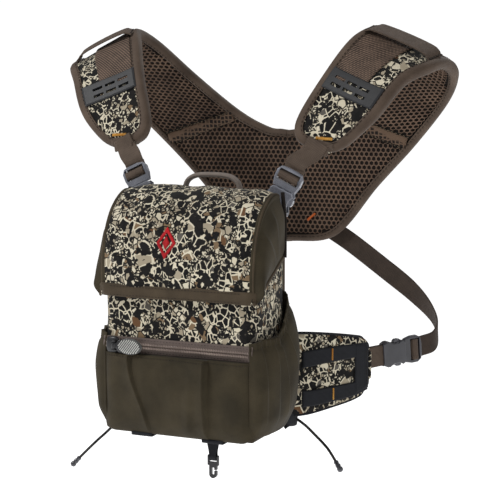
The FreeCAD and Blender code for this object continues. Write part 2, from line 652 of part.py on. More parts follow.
def make_grab_loop():
    """A tubular webbing loop that stands on the top of the back panel, and the feet it is sewn to."""
    radius = size("loop_radius")
    half = size("loop_half")
    depth = size("loop_depth")
    foot = size("loop_foot")
    top = size("loop_top")
    bend = 12
    corner = bend * (1 - math.sqrt(0.5))
    edges = [
        Part.LineSegment(Vector(-half, depth, foot), Vector(-half, depth, top - bend)).toShape(),
        Part.Arc(Vector(-half, depth, top - bend), Vector(-half + corner, depth, top - corner),
                 Vector(-half + bend, depth, top)).toShape(),
        Part.LineSegment(Vector(-half + bend, depth, top), Vector(half - bend, depth, top)).toShape(),
        Part.Arc(Vector(half - bend, depth, top), Vector(half - corner, depth, top - corner),
                 Vector(half, depth, top - bend)).toShape(),
        Part.LineSegment(Vector(half, depth, top - bend), Vector(half, depth, foot)).toShape(),
    ]
    opening = Part.Circle(Vector(-half, depth, foot), Vector(0, 0, 1), radius).toShape()
    tube = Part.Wire(edges).makePipeShell([Part.Wire([opening])], True, True)
    thick = radius + 0.2
    knuckle = Part.makeCylinder(thick, 2 * thick, Vector(half - thick, depth, foot), Vector(1, 0, 0))
    feature("grab_loop", tube.fuse(pair(knuckle)).removeSplitter())
    foot_top = foot - thick - 0.3
    foot_solid = block((half - radius, depth - radius, foot_top - 17),
                       (half + radius, size("back_front"), foot_top))
    feature("loop_feet", pair(foot_solid))


def make_tether():
    """A short webbing tether below the floor, narrowed where it loops round the bar of a slim hook."""
    half = size("tether_half")
    depth = size("tether_depth")
    low = size("tether_low")
    top = size("tether_top")
    thick = size("tether_thick")
    loop = size("hook_loop")
    bar_radius = size("hook_bar")
    narrow = size("fold_half")
    taper_top = low + 14
    corners = [Vector(-half, depth - thick / 2, top), Vector(half, depth - thick / 2, top),
               Vector(half, depth - thick / 2, taper_top), Vector(narrow, depth - thick / 2, low + loop - 0.5),
               Vector(-narrow, depth - thick / 2, low + loop - 0.5), Vector(-half, depth - thick / 2, taper_top)]
    strap = Part.Face(Part.makePolygon(corners + corners[:1])).extrude(Vector(0, thick, 0))
    fold = Part.makeCylinder(thick / 2, 2 * half, Vector(-half, depth, top), Vector(1, 0, 0))
    ring = Part.makeCylinder(loop, 2 * narrow, Vector(-narrow, depth, low), Vector(1, 0, 0))
    hole = Part.makeCylinder(bar_radius + 0.4, 2 * narrow, Vector(-narrow, depth, low), Vector(1, 0, 0))
    feature("tether_strap", strap.fuse([ring, fold]).cut(hole).removeSplitter())
    reach = narrow + 1.9
    inside = narrow + 0.4
    front = depth - 1.5
    back = depth + 1.5
    bar = Part.makeCylinder(bar_radius, 2 * reach, Vector(-reach, depth, low), Vector(1, 0, 0))
    arms = [block((start, front, low - 6), (start + reach - inside, back, low)) for start in (-reach, inside)]
    plate = block((-reach, front, low - 8), (reach, back, low - 5))
    tip = Part.makeCylinder(3.7, back - front, Vector(0, front, size("hook_low") + 3.7), Vector(0, 1, 0))
    stem = block((-3.7, front, size("hook_low") + 3.7), (3.7, back, low - 7.5))
    gap = block((-1.4, front - 1, size("hook_low") + 3), (1.4, back + 1, low - 10))
    latch = block((1.2, front - 1, low - 13.2), (4.2, back + 1, low - 12))
    feature("tether_hook", bar.fuse(arms + [plate, stem, tip]).cut(gap.fuse(latch)).removeSplitter())


# ---------------------------------------------------------------- the whole pack

def check():
    """Stop when any object failed or any piece isn't a sound solid."""
    document.recompute()
    for thing in document.Objects:
        if "Invalid" in thing.State or "Error" in thing.State:
            raise RuntimeError(f"{thing.Name} failed: {thing.State}")
    for thing in NODES:
        if thing.Shape.isNull() or not thing.Shape.isValid() or thing.Shape.Volume <= 0:
            raise RuntimeError(f"{thing.Label} is not a sound solid")


def export():
    """Write each piece to its own file."""
    os.makedirs("parts", exist_ok=True)
    for thing in NODES:
        thing.Shape.exportStep(f"parts/{thing.Label}.step")
    print(len(NODES), "pieces")


make_bag()
make_front_pocket()
make_zipper_slider()
make_zipper_pull()
make_lid()
make_pads()
make_wings()
make_buckles()
make_straps()
make_bottom_trim()
make_cords()
make_grab_loop()
make_tether()
check()
export()
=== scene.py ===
import math

import bpy
import bmesh
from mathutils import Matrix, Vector
from mathutils.bvhtree import BVHTree
from mathutils.noise import noise


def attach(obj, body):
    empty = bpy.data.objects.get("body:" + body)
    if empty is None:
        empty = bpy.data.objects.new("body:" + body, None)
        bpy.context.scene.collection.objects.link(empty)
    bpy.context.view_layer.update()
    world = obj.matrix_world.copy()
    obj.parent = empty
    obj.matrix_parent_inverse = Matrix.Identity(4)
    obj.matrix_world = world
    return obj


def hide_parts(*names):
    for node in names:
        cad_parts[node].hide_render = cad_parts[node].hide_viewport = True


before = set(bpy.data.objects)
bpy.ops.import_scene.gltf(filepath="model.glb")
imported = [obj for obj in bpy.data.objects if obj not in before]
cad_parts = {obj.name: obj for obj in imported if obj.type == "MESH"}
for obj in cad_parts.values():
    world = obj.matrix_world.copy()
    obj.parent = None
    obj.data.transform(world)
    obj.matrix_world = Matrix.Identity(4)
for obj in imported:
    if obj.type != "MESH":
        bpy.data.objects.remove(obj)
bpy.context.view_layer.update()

# Looks of the binocular harness pack. Lengths are written in millimetres and turned into metres by MM
# when a mesh is made. +Z up, the pack's front looks along -Y, the wearer's side is +Y.

MM = 0.001
ROOT = "pack"
SIDES = ((1, "right"), (-1, "left"))
TOWARDS_WEARER = Vector((0, 1, 0))
TO_FRONT = Vector((0, -1, 0))
UP = Vector((0, 0, 1))
RIGHT = Vector((1, 0, 0))


# ---------------------------------------------------------------- small geometry helpers

def lerp(first, second, part):
    return first + (second - first) * part


def smooth(value):
    """0 below 0, 1 above 1, with an eased ramp between."""
    value = min(max(value, 0.0), 1.0)
    return value * value * (3 - 2 * value)


def spline(points, place):
    """A point on the Catmull-Rom curve through points; place counts the points from 0."""
    last = len(points) - 1
    place = min(max(place, 0.0), float(last))
    index = min(int(place), last - 1)
    part = place - index
    near, far = points[index], points[index + 1]
    before = points[index - 1] if index > 0 else near * 2 - far
    after = points[index + 2] if index + 2 <= last else far * 2 - near
    linear = (far - before) * part
    square = (before * 2 - near * 5 + far * 4 - after) * part ** 2
    cube = (near * 3 - before - far * 3 + after) * part ** 3
    return (near * 2 + linear + square + cube) * 0.5


def curve(points, count):
    """count points spread evenly along the spline through points."""
    vectors = [Vector(point) for point in points]
    dense = [spline(vectors, (len(vectors) - 1) * step / 400) for step in range(401)]
    lengths = [0.0]
    for first, second in zip(dense, dense[1:]):
        lengths.append(lengths[-1] + (second - first).length)
    result = []
    at = 0
    for step in range(count):
        goal = lengths[-1] * step / (count - 1)
        while at < 399 and lengths[at + 1] < goal:
            at += 1
        span = max(lengths[at + 1] - lengths[at], 1e-9)
        result.append(dense[at].lerp(dense[at + 1], min((goal - lengths[at]) / span, 1)))
    return result


def build(name, points, faces, material, uvs=None, flat=False, body=ROOT, slots=None, picks=None):
    """A mesh object from points in millimetres, riding on a body."""
    mesh = bpy.data.meshes.new(name)
    mesh.from_pydata([Vector(point) * MM for point in points], [], faces)
    if uvs:
        layer = mesh.uv_layers.new(name="UVMap")
        for loop in mesh.loops:
            layer.data[loop.index].uv = uvs[loop.vertex_index]
    for item in [material] + list(slots or []):
        mesh.materials.append(item)
    for index, polygon in enumerate(mesh.polygons):
        polygon.use_smooth = not flat
        if picks:
            polygon.material_index = picks[index]
    mesh.validate()
    thing = bpy.data.objects.new(name, mesh)
    bpy.context.scene.collection.objects.link(thing)
    if body:
        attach(thing, body)
    return thing


def shell(name, outer, inner, material, pick=None, slots=None, **rest):
    """A closed piece between two grids of points of the same size, stitched round their rim."""
    rows, columns = len(outer), len(outer[0])
    points = [point for row in outer for point in row] + [point for row in inner for point in row]
    offset = rows * columns
    along = [0.0]
    for row in range(1, rows):
        middle = columns // 2
        along.append(along[-1] + (outer[row][middle] - outer[row - 1][middle]).length)
    uvs = []
    for _ in range(2):
        for row in range(rows):
            across = 0.0
            for column in range(columns):
                if column:
                    across += (outer[row][column] - outer[row][column - 1]).length
                uvs.append((across, along[row]))
    faces = []
    picks = []

    def quad(a, b, c, d, kind):
        faces.append((a, b, c, d))
        picks.append(kind)

    for row in range(rows - 1):
        for column in range(columns - 1):
            a = row * columns + column
            kind = pick(row, column) if pick else (0, 0)
            quad(a, a + 1, a + columns + 1, a + columns, kind[0])
            quad(a + offset, a + columns + offset, a + columns + 1 + offset, a + 1 + offset, kind[1])
    rim = [column for column in range(columns)]
    rim += [row * columns + columns - 1 for row in range(1, rows)]
    rim += [(rows - 1) * columns + column for column in range(columns - 2, -1, -1)]
    rim += [row * columns for row in range(rows - 2, 0, -1)]
    for first, second in zip(rim, rim[1:] + rim[:1]):
        quad(first, first + offset, second + offset, second, 0)
    thing = build(name, points, faces, material, uvs, slots=slots, picks=picks, **rest)
    fix_normals(thing)
    return thing


def fix_normals(thing):
    mesh = bmesh.new()
    mesh.from_mesh(thing.data)
    bmesh.ops.recalc_face_normals(mesh, faces=mesh.faces)
    mesh.to_mesh(thing.data)
    mesh.free()


def weld(thing):
    """Joins points that fall together, so that shading runs on over the seams."""
    mesh = bmesh.new()
    mesh.from_mesh(thing.data)
    bmesh.ops.remove_doubles(mesh, verts=mesh.verts, dist=0.00002)
    bmesh.ops.recalc_face_normals(mesh, faces=mesh.faces)
    mesh.to_mesh(thing.data)
    mesh.free()


def sweep(name, frames, profile, material, closed=False, **rest):
    """A closed profile [(x, y)] carried along frames [(origin, x axis, y axis)], capped at its ends."""
    count = len(profile)
    points = [origin + right * x + up * y for origin, right, up in frames for x, y in profile]
    around = [0.0]
    for (x0, y0), (x1, y1) in zip(profile, profile[1:]):
        around.append(around[-1] + math.hypot(x1 - x0, y1 - y0))
    along = [0.0]
    for first, second in zip(frames, frames[1:]):
        along.append(along[-1] + (second[0] - first[0]).length)
    uvs = [(side, way) for way in along for side in around]
    faces = []
    rings = len(frames)
    for ring in range(rings if closed else rings - 1):
        base = ring * count
        ahead = ((ring + 1) % rings) * count
        for index in range(count):
            after = (index + 1) % count
            faces.append((base + index, base + after, ahead + after, ahead + index))
    if not closed:
        faces.append(tuple(range(count)))
        faces.append(tuple((rings - 1) * count + index for index in range(count - 1, -1, -1)))
    thing = build(name, points, faces, material, uvs, **rest)
    fix_normals(thing)
    return thing


def path_frames(points, across):
    """Frames along points; across gives each frame's x axis, straightened against the path."""
    frames = []
    for index, point in enumerate(points):
        ahead = points[min(index + 1, len(points) - 1)]
        behind = points[max(index - 1, 0)]
        forward = (ahead - behind).normalized()
        side = Vector(across[index] if isinstance(across, list) else across)
        side = (side - forward * side.dot(forward)).normalized()
        frames.append((point, side, forward.cross(side).normalized()))
    return frames


def ring_profile(radius_x, radius_y, count):
    return [(radius_x * math.cos(turn), radius_y * math.sin(turn))
            for turn in (2 * math.pi * step / count for step in range(count))]


def tape_profile(width, thick, ribs=0, rib_height=0.12):
    """The cross-section of a flat tape with rounded edges and fine ribs along it."""
    half = width / 2
    steps = max(ribs * 2, 8)
    top = []
    for step in range(steps + 1):
        x = lerp(-half + thick * 0.4, half - thick * 0.4, step / steps)
        top.append((x, thick / 2 + (rib_height if ribs and step % 2 else 0)))
    bottom = [(x, -y) for x, y in reversed(top)]
    return top + [(half, 0)] + bottom + [(-half, 0)]


def tape(name, points, across, width, thick, material, ribs=7, **rest):
    return sweep(name, path_frames(points, across), tape_profile(width, thick, ribs), material, **rest)


def join(name, things):
    """Several mesh objects with the same material become one object."""
    target = things[0]
    if len(things) > 1:
        with bpy.context.temp_override(active_object=target, object=target, selected_objects=things,
                                       selected_editable_objects=things):
            bpy.ops.object.join()
    target.name = name
    return target


def wrinkle(point, period, height):
    """Smooth hills and hollows of about this period and height."""
    return noise(Vector(point) / period) * height


# ---------------------------------------------------------------- materials

class Nodes:
    """A material's node tree with short ways to add to it."""

    def __init__(self, name, roughness, sheen=0.0, coat=0.0, specular=0.5):
        self.material = bpy.data.materials.new(name)
        self.material.use_nodes = True
        self.tree = self.material.node_tree
        self.shader = self.tree.nodes["Principled BSDF"]
        self.shader.inputs["Roughness"].default_value = roughness
        self.shader.inputs["Sheen Weight"].default_value = sheen
        self.shader.inputs["Coat Weight"].default_value = coat
        self.shader.inputs["Specular IOR Level"].default_value = specular
        self.coords = self.tree.nodes.new("ShaderNodeTexCoord")

    def add(self, kind, **sockets):
        node = self.tree.nodes.new(kind)
        for name, value in sockets.items():
            self.put(node.inputs[name.replace("_", " ")], value)
        return node

    def put(self, socket, value):
        if isinstance(value, bpy.types.NodeSocket):
            self.tree.links.new(value, socket)
        else:
            socket.default_value = value

    def placed(self, scale, uv=False, turn=0.0):
        """Object coordinates or UV, both in millimetres, times a scale and turned by degrees."""
        mapping = self.add("ShaderNodeMapping")
        mapping.inputs["Rotation"].default_value = (0, 0, math.radians(turn))
        factor = 1 if uv else 1000
        mapping.inputs["Scale"].default_value = [part * factor for part in scale]
        self.tree.links.new(self.coords.outputs["UV" if uv else "Object"], mapping.inputs["Vector"])
        return mapping.outputs["Vector"]

    def noise(self, size, detail=3, uv=False):
        node = self.add("ShaderNodeTexNoise", Vector=self.placed([1 / size] * 3, uv), Scale=1.0,
                        Detail=detail)
        return node.outputs["Fac"]

    def wave(self, pitch, axis, distort=0.0, turn=0.0):
        """Stripes of this pitch in millimetres across the UV layout."""
        node = self.add("ShaderNodeTexWave", Vector=self.placed([1, 1, 1], True, turn), Scale=0.314 / pitch,
                        Distortion=distort)
        node.bands_direction = axis
        return node.outputs["Fac"]

    def cells(self, vector, scale, feature, spread=1.0):
        node = self.add("ShaderNodeTexVoronoi", Vector=vector, Scale=scale, Randomness=spread)
        node.feature = feature
        return node

    def math(self, kind, first, second=0.5):
        node = self.add("ShaderNodeMath")
        node.operation = kind
        self.put(node.inputs[0], first)
        self.put(node.inputs[1], second)
        return node.outputs[0]

    def ramp(self, value, stops, kind="LINEAR"):
        node = self.add("ShaderNodeValToRGB", Fac=value)
        node.color_ramp.interpolation = kind
        elements = node.color_ramp.elements
        while len(elements) < len(stops):
            elements.new(0.5)
        for element, (place, colour) in zip(elements, stops):
            element.position = place
            element.color = colour if len(colour) == 4 else (*colour, 1)
        return node.outputs["Color"]

    def mix(self, factor, first, second, kind="MIX"):
        node = self.add("ShaderNodeMix")
        node.data_type = "RGBA"
        node.blend_type = kind
        for socket, value in ((node.inputs[0], factor), (node.inputs[6], first), (node.inputs[7], second)):
            if isinstance(value, tuple) and len(value) == 3:
                value = (*value, 1)
            self.put(socket, value)
        return node.outputs[2]

    def finish(self, colour, height=None, strength=0.3, distance=0.0003, roughness=None):
        self.put(self.shader.inputs["Base Color"], colour)
        if roughness:
            self.put(self.shader.inputs["Roughness"], roughness)
        if height:
            bump = self.add("ShaderNodeBump", Height=height, Strength=strength, Distance=distance)
            self.put(self.shader.inputs["Normal"], bump.outputs["Normal"])
        return self.material


def rgb(red, green, blue):
    """A colour from 0-255 display values, as the linear values that a shader takes."""
    return tuple(((part / 255) / 12.92 if part <= 10 else ((part / 255 + 0.055) / 1.055) ** 2.4)
                 for part in (red, green, blue))


def fabric(name, dark, light, grain=0.45, roughness=0.85):
    """Knitted or woven cloth without a visible direction: mottled colour and a fine grain."""
    nodes = Nodes(name, roughness, sheen=0.04, specular=0.2)
    mottle = nodes.ramp(nodes.noise(22, 4), [(0.3, dark), (0.72, light)])
    fine = nodes.cells(nodes.placed([1 / grain] * 3), 1.0, "F1").outputs["Distance"]
    shade = nodes.ramp(fine, [(0.0, (1, 1, 1)), (0.9, (0.62, 0.62, 0.62))])
    return nodes.finish(nodes.mix(0.8, mottle, shade, "MULTIPLY"), fine, 0.45, 0.00015)


def webbing(name, dark, light, rib=1.1, pick=0.75, slant=0.0):
    """Woven tape: ribs along it, slanted by some degrees, crossed by fine picks."""
    nodes = Nodes(name, 0.75, sheen=0.03, specular=0.25)
    ribs = nodes.wave(rib, "X", turn=slant)
    picks = nodes.wave(pick, "Y", distort=0.6)
    weave = nodes.math("MULTIPLY", ribs, nodes.math("ADD", nodes.math("MULTIPLY", picks, 0.5), 0.5))
    tone = nodes.math("ADD", nodes.math("MULTIPLY", weave, 0.7), nodes.math("MULTIPLY", nodes.noise(9), 0.4))
    return nodes.finish(nodes.ramp(tone, [(0.1, dark), (0.85, light)]), weave, 0.6, 0.00025)


def plastic(name, dark, light, roughness, coat):
    """Moulded plastic: slight unevenness, faint scuffs and lighter worn edges."""
    nodes = Nodes(name, roughness, coat=coat)
    tone = nodes.ramp(nodes.noise(14, 5), [(0.3, dark), (0.75, light)])
    edge = nodes.add("ShaderNodeNewGeometry").outputs["Pointiness"]
    worn = nodes.ramp(edge, [(0.52, (0, 0, 0)), (0.60, (0.5, 0.5, 0.5))])
    colour = nodes.mix(worn, tone, tuple(min(part * 2.2, 1) for part in light))
    scuff = nodes.noise(1.2, 6)
    rough = nodes.math("ADD", nodes.math("MULTIPLY", scuff, 0.16), roughness - 0.08)
    return nodes.finish(colour, scuff, 0.08, 0.0001, rough)


def cell_print(nodes, size, crack, fill, line):
    """Irregular, slightly rounded cells of about this size with drawn cracks between them."""
    vector = nodes.placed([1 / size, 1 / size, 0.85 / size])
    for scale, amount in ((0.7, 0.28), (2.6, 0.09)):
        swirl = nodes.add("ShaderNodeTexNoise", Vector=vector, Scale=scale, Detail=1.0).outputs["Color"]
        shifted = nodes.add("ShaderNodeMix")
        shifted.data_type = "VECTOR"
        shifted.blend_type = "MIX"
        shifted.inputs[0].default_value = amount
        nodes.put(shifted.inputs[4], vector)
        nodes.put(shifted.inputs[5], swirl)
        vector = shifted.outputs[1]
    edge = nodes.cells(vector, 1.0, "DISTANCE_TO_EDGE").outputs["Distance"]
    pick = nodes.cells(vector, 1.0, "F1").outputs["Color"]
    value = nodes.add("ShaderNodeSeparateColor", Color=pick).outputs["Red"]
    body = nodes.ramp(value, fill, "CONSTANT")
    return nodes.mix(nodes.ramp(edge, [(crack, (0, 0, 0)), (crack * 1.4, (1, 1, 1))]), line, body)


def camouflage(name):
    """A generic cracked-cell print: pale cells, dark blobs and fine dots in drifting patches."""
    nodes = Nodes(name, 0.85, sheen=0.05, specular=0.2)
    cream = rgb(206, 198, 176)
    stone = rgb(158, 148, 128)
    tan = rgb(118, 98, 74)
    rust = rgb(96, 68, 44)
    grey = rgb(84, 80, 74)
    coal = rgb(20, 18, 17)
    black = rgb(10, 9, 9)
    pale = cell_print(nodes, 4.2, 0.055, [(0, cream), (0.3, stone), (0.52, cream), (0.7, tan), (0.86, coal)],
                      black)
    blobs = cell_print(nodes, 3.6, 0.06, [(0, coal), (0.4, black), (0.78, coal), (0.93, grey)], cream)
    dots = cell_print(nodes, 1.7, 0.13, [(0, cream), (0.3, black), (0.5, cream), (0.72, stone)], coal)
    giant = cell_print(nodes, 6.6, 0.04, [(0, stone), (0.2, coal), (0.5, tan), (0.66, black), (0.92, rust)],
                       cream)
    night = cell_print(nodes, 2.6, 0.05, [(0, coal), (0.55, black), (0.86, stone)], black)
    first = nodes.mix(nodes.ramp(nodes.noise(14, 1), [(0.46, (0, 0, 0)), (0.47, (1, 1, 1))]), pale, blobs)
    second = nodes.mix(nodes.ramp(nodes.noise(9, 1), [(0.54, (0, 0, 0)), (0.55, (1, 1, 1))]), first, dots)
    third = nodes.mix(nodes.ramp(nodes.noise(19, 1), [(0.6, (0, 0, 0)), (0.61, (1, 1, 1))]), second, giant)
    fourth = nodes.mix(nodes.ramp(nodes.noise(11, 2), [(0.57, (0, 0, 0)), (0.58, (1, 1, 1))]), third, night)
    fade = nodes.ramp(nodes.noise(40, 3), [(0.3, (0.78, 0.76, 0.74)), (0.7, (1, 1, 1))])
    grain = nodes.cells(nodes.placed([2.2] * 3), 1.0, "F1").outputs["Distance"]
    return nodes.finish(nodes.mix(1.0, fourth, fade, "MULTIPLY"), grain, 0.35, 0.00012)


def netting(name):
    """Knitted mesh seen as cloth: pale yarn round small holes that are not cut, their insides painted near black
    as shade.
    """
    nodes = Nodes(name, 0.8, specular=0.2)
    edge = nodes.cells(nodes.placed([1 / 4.2] * 3), 1.0, "DISTANCE_TO_EDGE", 0.25).outputs["Distance"]
    # painted shade: the dark inside of each hole is coloured onto the cloth
    colour = nodes.ramp(edge, [(0.10, rgb(92, 74, 60)), (0.20, rgb(22, 16, 13))])
    return nodes.finish(colour, edge, 0.6, -0.0006)


CAMO = camouflage("camo_cloth")
BROWN = fabric("brown_stretch_cloth", rgb(46, 40, 27), rgb(65, 57, 41))
DARK_BROWN = fabric("shadow_cloth", rgb(20, 15, 12), rgb(30, 23, 18), 0.6)
BINDING = fabric("binding_tape", rgb(70, 57, 47), rgb(94, 79, 67), 0.35, 0.7)
MESH = fabric("spacer_mesh_yarn", rgb(84, 66, 54), rgb(114, 92, 76), 0.5, 0.7)
NETTING = netting("folded_spacer_mesh")
LIP = fabric("lip_tape", rgb(62, 52, 39), rgb(80, 68, 52), 0.4, 0.75)
WEB = webbing("brown_webbing", rgb(46, 37, 30), rgb(98, 83, 71))
# painted shade: a darker copy of the brown webbing, for the side strap that hangs in shadow
SHADED_WEB = webbing("side_strap_webbing_painted_shade", rgb(28, 22, 17), rgb(70, 57, 48))
WIDE = webbing("wide_ribbed_webbing", rgb(8, 6, 5), rgb(112, 92, 78), 2.6, 2.6, 35)
LOOP = webbing("tubular_webbing", rgb(82, 73, 67), rgb(140, 130, 122))
BLACK_WEB = webbing("black_webbing", rgb(8, 9, 12), rgb(26, 28, 35))
TAPE = webbing("zipper_tape_cloth", rgb(72, 62, 58), rgb(112, 99, 93), 1.0, 1.0)
THREAD = fabric("sewing_thread", rgb(34, 27, 22), rgb(50, 41, 34), 0.2)
PALE_THREAD = fabric("pale_sewing_thread", rgb(98, 88, 72), rgb(122, 110, 92), 0.2)
GOLD = fabric("gold_bartack_thread", rgb(180, 116, 38), rgb(222, 170, 80), 0.2, 0.55)
ORANGE = fabric("orange_tab_thread", rgb(170, 76, 28), rgb(206, 104, 44), 0.2, 0.6)
RED = fabric("red_embroidery_thread", rgb(160, 12, 22), rgb(206, 26, 36), 0.25, 0.5)
RUBBER = plastic("black_moulded_patch", rgb(7, 8, 11), rgb(16, 17, 21), 0.6, 0.0)
PULL = plastic("pull_rubber", rgb(34, 34, 34), rgb(54, 54, 52), 0.5, 0.1)
PULL_RIB = plastic("pull_rib_rubber", rgb(118, 118, 114), rgb(150, 150, 146), 0.45, 0.1)
COIL = plastic("zipper_coil_nylon", rgb(104, 90, 82), rgb(150, 134, 124), 0.4, 0.1)
GREY = plastic("light_grey_acetal", rgb(80, 82, 90), rgb(108, 110, 118), 0.28, 0.4)
SLATE = plastic("dark_grey_acetal", rgb(34, 34, 39), rgb(54, 54, 60), 0.34, 0.25)
BLACK = plastic("black_acetal", rgb(7, 7, 9), rgb(16, 16, 19), 0.45, 0.05)
STEEL = plastic("nickel_plate", rgb(150, 150, 150), rgb(190, 190, 190), 0.3, 0.0)
CORD = webbing("cord_cover", rgb(12, 12, 13), rgb(52, 50, 48), 0.7, 0.7)


# ---------------------------------------------------------------- stitches

def stitches(name, points, normals, material, length=2.6, gap=1.5, radius=0.28, lift=0.15, body=ROOT):
    """A row of short thread stitches along points that lie on a surface with these normals."""
    pieces = ([], [])
    travelled = 0.0
    start = None
    for index in range(1, len(points)):
        step = (points[index] - points[index - 1]).length
        phase = travelled % (length + gap)
        travelled += step
        if phase < length and start is None:
            start = index - 1
        if start is not None and (phase >= length or index == len(points) - 1):
            add_stitch(pieces, points[start], points[index - 1], normals[start], radius, lift)
            start = None
    if not pieces[1]:
        return None
    return build(name, pieces[0], pieces[1], material, body=body)


def fine_stitches(name, points, normals, radius=0.2, body=ROOT):
    """A row of short, thin stitches, as on the bag's seams and hems."""
    return stitches(name, points, normals, THREAD, length=1.8, gap=1.2, radius=radius, body=body)


def add_stitch(pieces, start, end, normal, radius, lift):
    vertices, faces = pieces
    way = end - start
    if way.length < 0.3:
        return
    forward = way.normalized()
    normal = (normal - forward * normal.dot(forward)).normalized()
    side = forward.cross(normal)
    base = len(vertices)
    rings = [(0.0, 0.35, -0.5), (0.2, 1.0, 0.6), (0.5, 1.1, 1.0), (0.8, 1.0, 0.6), (1.0, 0.35, -0.5)]
    for place, swell, height in rings:
        centre = start + way * place + normal * (lift + radius * height)
        for turn in range(6):
            angle = math.pi * turn / 3
            vertices.append(centre + (side * math.cos(angle) + normal * math.sin(angle)) * radius * swell)
    for ring in range(len(rings) - 1):
        for turn in range(6):
            after = (turn + 1) % 6
            low = base + ring * 6
            faces.append((low + turn, low + after, low + 6 + after, low + 6 + turn))
    faces.append(tuple(base + turn for turn in range(5, -1, -1)))
    faces.append(tuple(base + (len(rings) - 1) * 6 + turn for turn in range(6)))


def bartack(name, centre, along, normal, length, width, material, body=ROOT):
    """A dense zigzag block of thread."""
    along = Vector(along).normalized()
    normal = Vector(normal)
    normal = (normal - along * normal.dot(along)).normalized()
    side = along.cross(normal)
    centre = Vector(centre)
    pieces = ([], [])
    count = int(length / 0.55)
    for index in range(count):
        at = centre + along * lerp(-length / 2, length / 2, (index + 0.5) / count)
        lean = along * (0.25 if index % 2 else -0.25)
        add_stitch(pieces, at - side * width / 2 - lean, at + side * width / 2 + lean, normal, 0.3, 0.1)
    return build(name, pieces[0], pieces[1], material, body=body)


# ---------------------------------------------------------------- harness surface

# The pad's stations as in the frame's design: the edge beside the neck, the edge beside the arm.
PAD_STATIONS = [
    ((78, -1, 146), (110, 4, 138)),
    ((74, 6, 166), (142, 8, 168)),
    ((91, 26, 205), (163, 26, 200)),
    ((108, 52, 238), (180, 50, 212)),
    ((122, 80, 248), (186, 82, 216)),
    ((116, 112, 236), (186, 112, 206)),
    ((90, 140, 204), (170, 138, 182)),
    ((52, 158, 170), (134, 156, 142)),
    ((22, 164, 154), (94, 162, 100)),
    ((8, 165, 152), (50, 165, 50)),
    ((0, 165, 151), (0, 165, 42)),
]
INNER_EDGE = [Vector(station[0]) for station in PAD_STATIONS]
OUTER_EDGE = [Vector(station[1]) for station in PAD_STATIONS]
CENTRE = len(PAD_STATIONS) - 1
ARM_SEAM = 6.9
TIP_TURN = 0.42


def pad_flat(place, across):
    """A point of the pad's middle surface, right-hand side."""
    return spline(INNER_EDGE, place).lerp(spline(OUTER_EDGE, place), across)


def pad_normal(place, across):
    """The outward normal of the pad's middle surface."""
    place = min(place, CENTRE - 0.05)
    forward = pad_flat(min(place + 0.04, CENTRE), across) - pad_flat(max(place - 0.04, 0), across)
    sideways = pad_flat(place, 1) - pad_flat(place, 0)
    normal = sideways.cross(forward).normalized()
    return normal.lerp(TOWARDS_WEARER, smooth(place - 8.6)).normalized()


def pad_point(side, place, across, height):
    """A point at a height off the middle surface; side is 1 or -1."""
    point = pad_flat(place, across) + pad_normal(place, across) * height
    return Vector((point.x * side, point.y, point.z))


def side_normal(side, place, across):
    normal = pad_normal(place, across)
    return Vector((normal.x * side, normal.y, normal.z))


def tip_inset(place):
    """How far the pad's edges draw in towards its rounded front tip."""
    return 0.17 * (1 - min(place / TIP_TURN, 1)) ** 2


def both_sides(steps):
    """(side, place) from the right tip over the back to the left tip."""
    places = [CENTRE * step / steps for step in range(steps + 1)]
    return [(1, place) for place in places] + [(-1, place) for place in reversed(places[:-1])]


def make_pad():
    """One quilted pad from tip to tip: printed cloth in front, plain cloth over the back."""
    across_steps = 22
    outer = []
    inner = []
    for side, place in both_sides(96):
        inset = tip_inset(place)
        fractions = [lerp(inset, 1 - inset, step / across_steps) for step in range(across_steps + 1)]
        crowns = [math.sin(math.pi * step / across_steps) ** 0.6 for step in range(across_steps + 1)]
        top = [pad_point(side, place, at, 3.0 + 1.1 * crown + wrinkle(pad_flat(place, at), 18, 0.5))
               for at, crown in zip(fractions, crowns)]
        outer.append(top)
        inner.append([pad_point(side, place, at, -3.0 - 1.0 * crown) for at, crown in zip(fractions, crowns)])
    front = [1 if place <= 4.6 else 0 for _, place in both_sides(96)]
    pad = shell("harness_pad", outer, inner, BROWN, pick=lambda row, column: (front[row], 2),
                slots=[CAMO, DARK_BROWN])
    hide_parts("shoulder_pad_left", "shoulder_pad_right", "yoke_pad")
    return pad


def edge_path(side, steps):
    """(place, across) round one side: in along the neck edge, round the tip, back along the arm edge."""
    path = [(lerp(CENTRE, TIP_TURN, step / steps), 0.0) for step in range(steps)]
    for step in range(17):
        turn = math.pi * step / 16
        path.append((TIP_TURN - TIP_TURN * math.sin(turn) ** 0.75, 0.5 - 0.5 * math.cos(turn)))
    path += [(lerp(TIP_TURN, CENTRE, (step + 1) / steps), 1.0) for step in range(steps)]
    return [(side, place, across) for place, across in path]


def rim_frames(path, height=0.0, inset=0.0):
    """Frames on the pad's rim: x points off the pad's edge, y along its outward normal."""
    points = [pad_point(*spot, height) for spot in path]
    frames = []
    count = len(points)
    for index, (side, place, across) in enumerate(path):
        forward = (points[min(index + 1, count - 1)] - points[max(index - 1, 0)]).normalized()
        normal = side_normal(side, place, across)
        away = forward.cross(normal).normalized() * side
        frames.append((points[index] - away * inset, away, normal))
    return frames


def make_binding():
    """Folded tape rolled round the pad's whole rim, with a row of stitches on each face."""
    fold = [(-7.2, 4.5), (-6.6, 4.9), (-4.0, 5.3), (-1.0, 4.9), (0.9, 3.4), (1.6, 1.2), (1.6, -1.6),
            (0.8, -4.0), (-1.2, -5.4), (-3.6, -5.8), (-4.9, -5.6), (-5.4, -5.0), (-5.4, 0.0)]
    for side, label in SIDES:
        path = edge_path(side, 90)
        binding = sweep(f"rolled_binding_{label}", rim_frames(path), fold, BINDING)
        for face, height, inset in (("front", 5.0, 5.8), ("back", -5.75, 3.4)):
            frames = rim_frames(edge_path(side, 520), 0.0, inset)
            points = [point + normal * height for point, _, normal in frames]
            row = stitches(f"binding_stitches_{face}_{label}", points,
                           [normal * (1 if height > 0 else -1) for _, _, normal in frames], THREAD)


NET_PITCH = 5.0


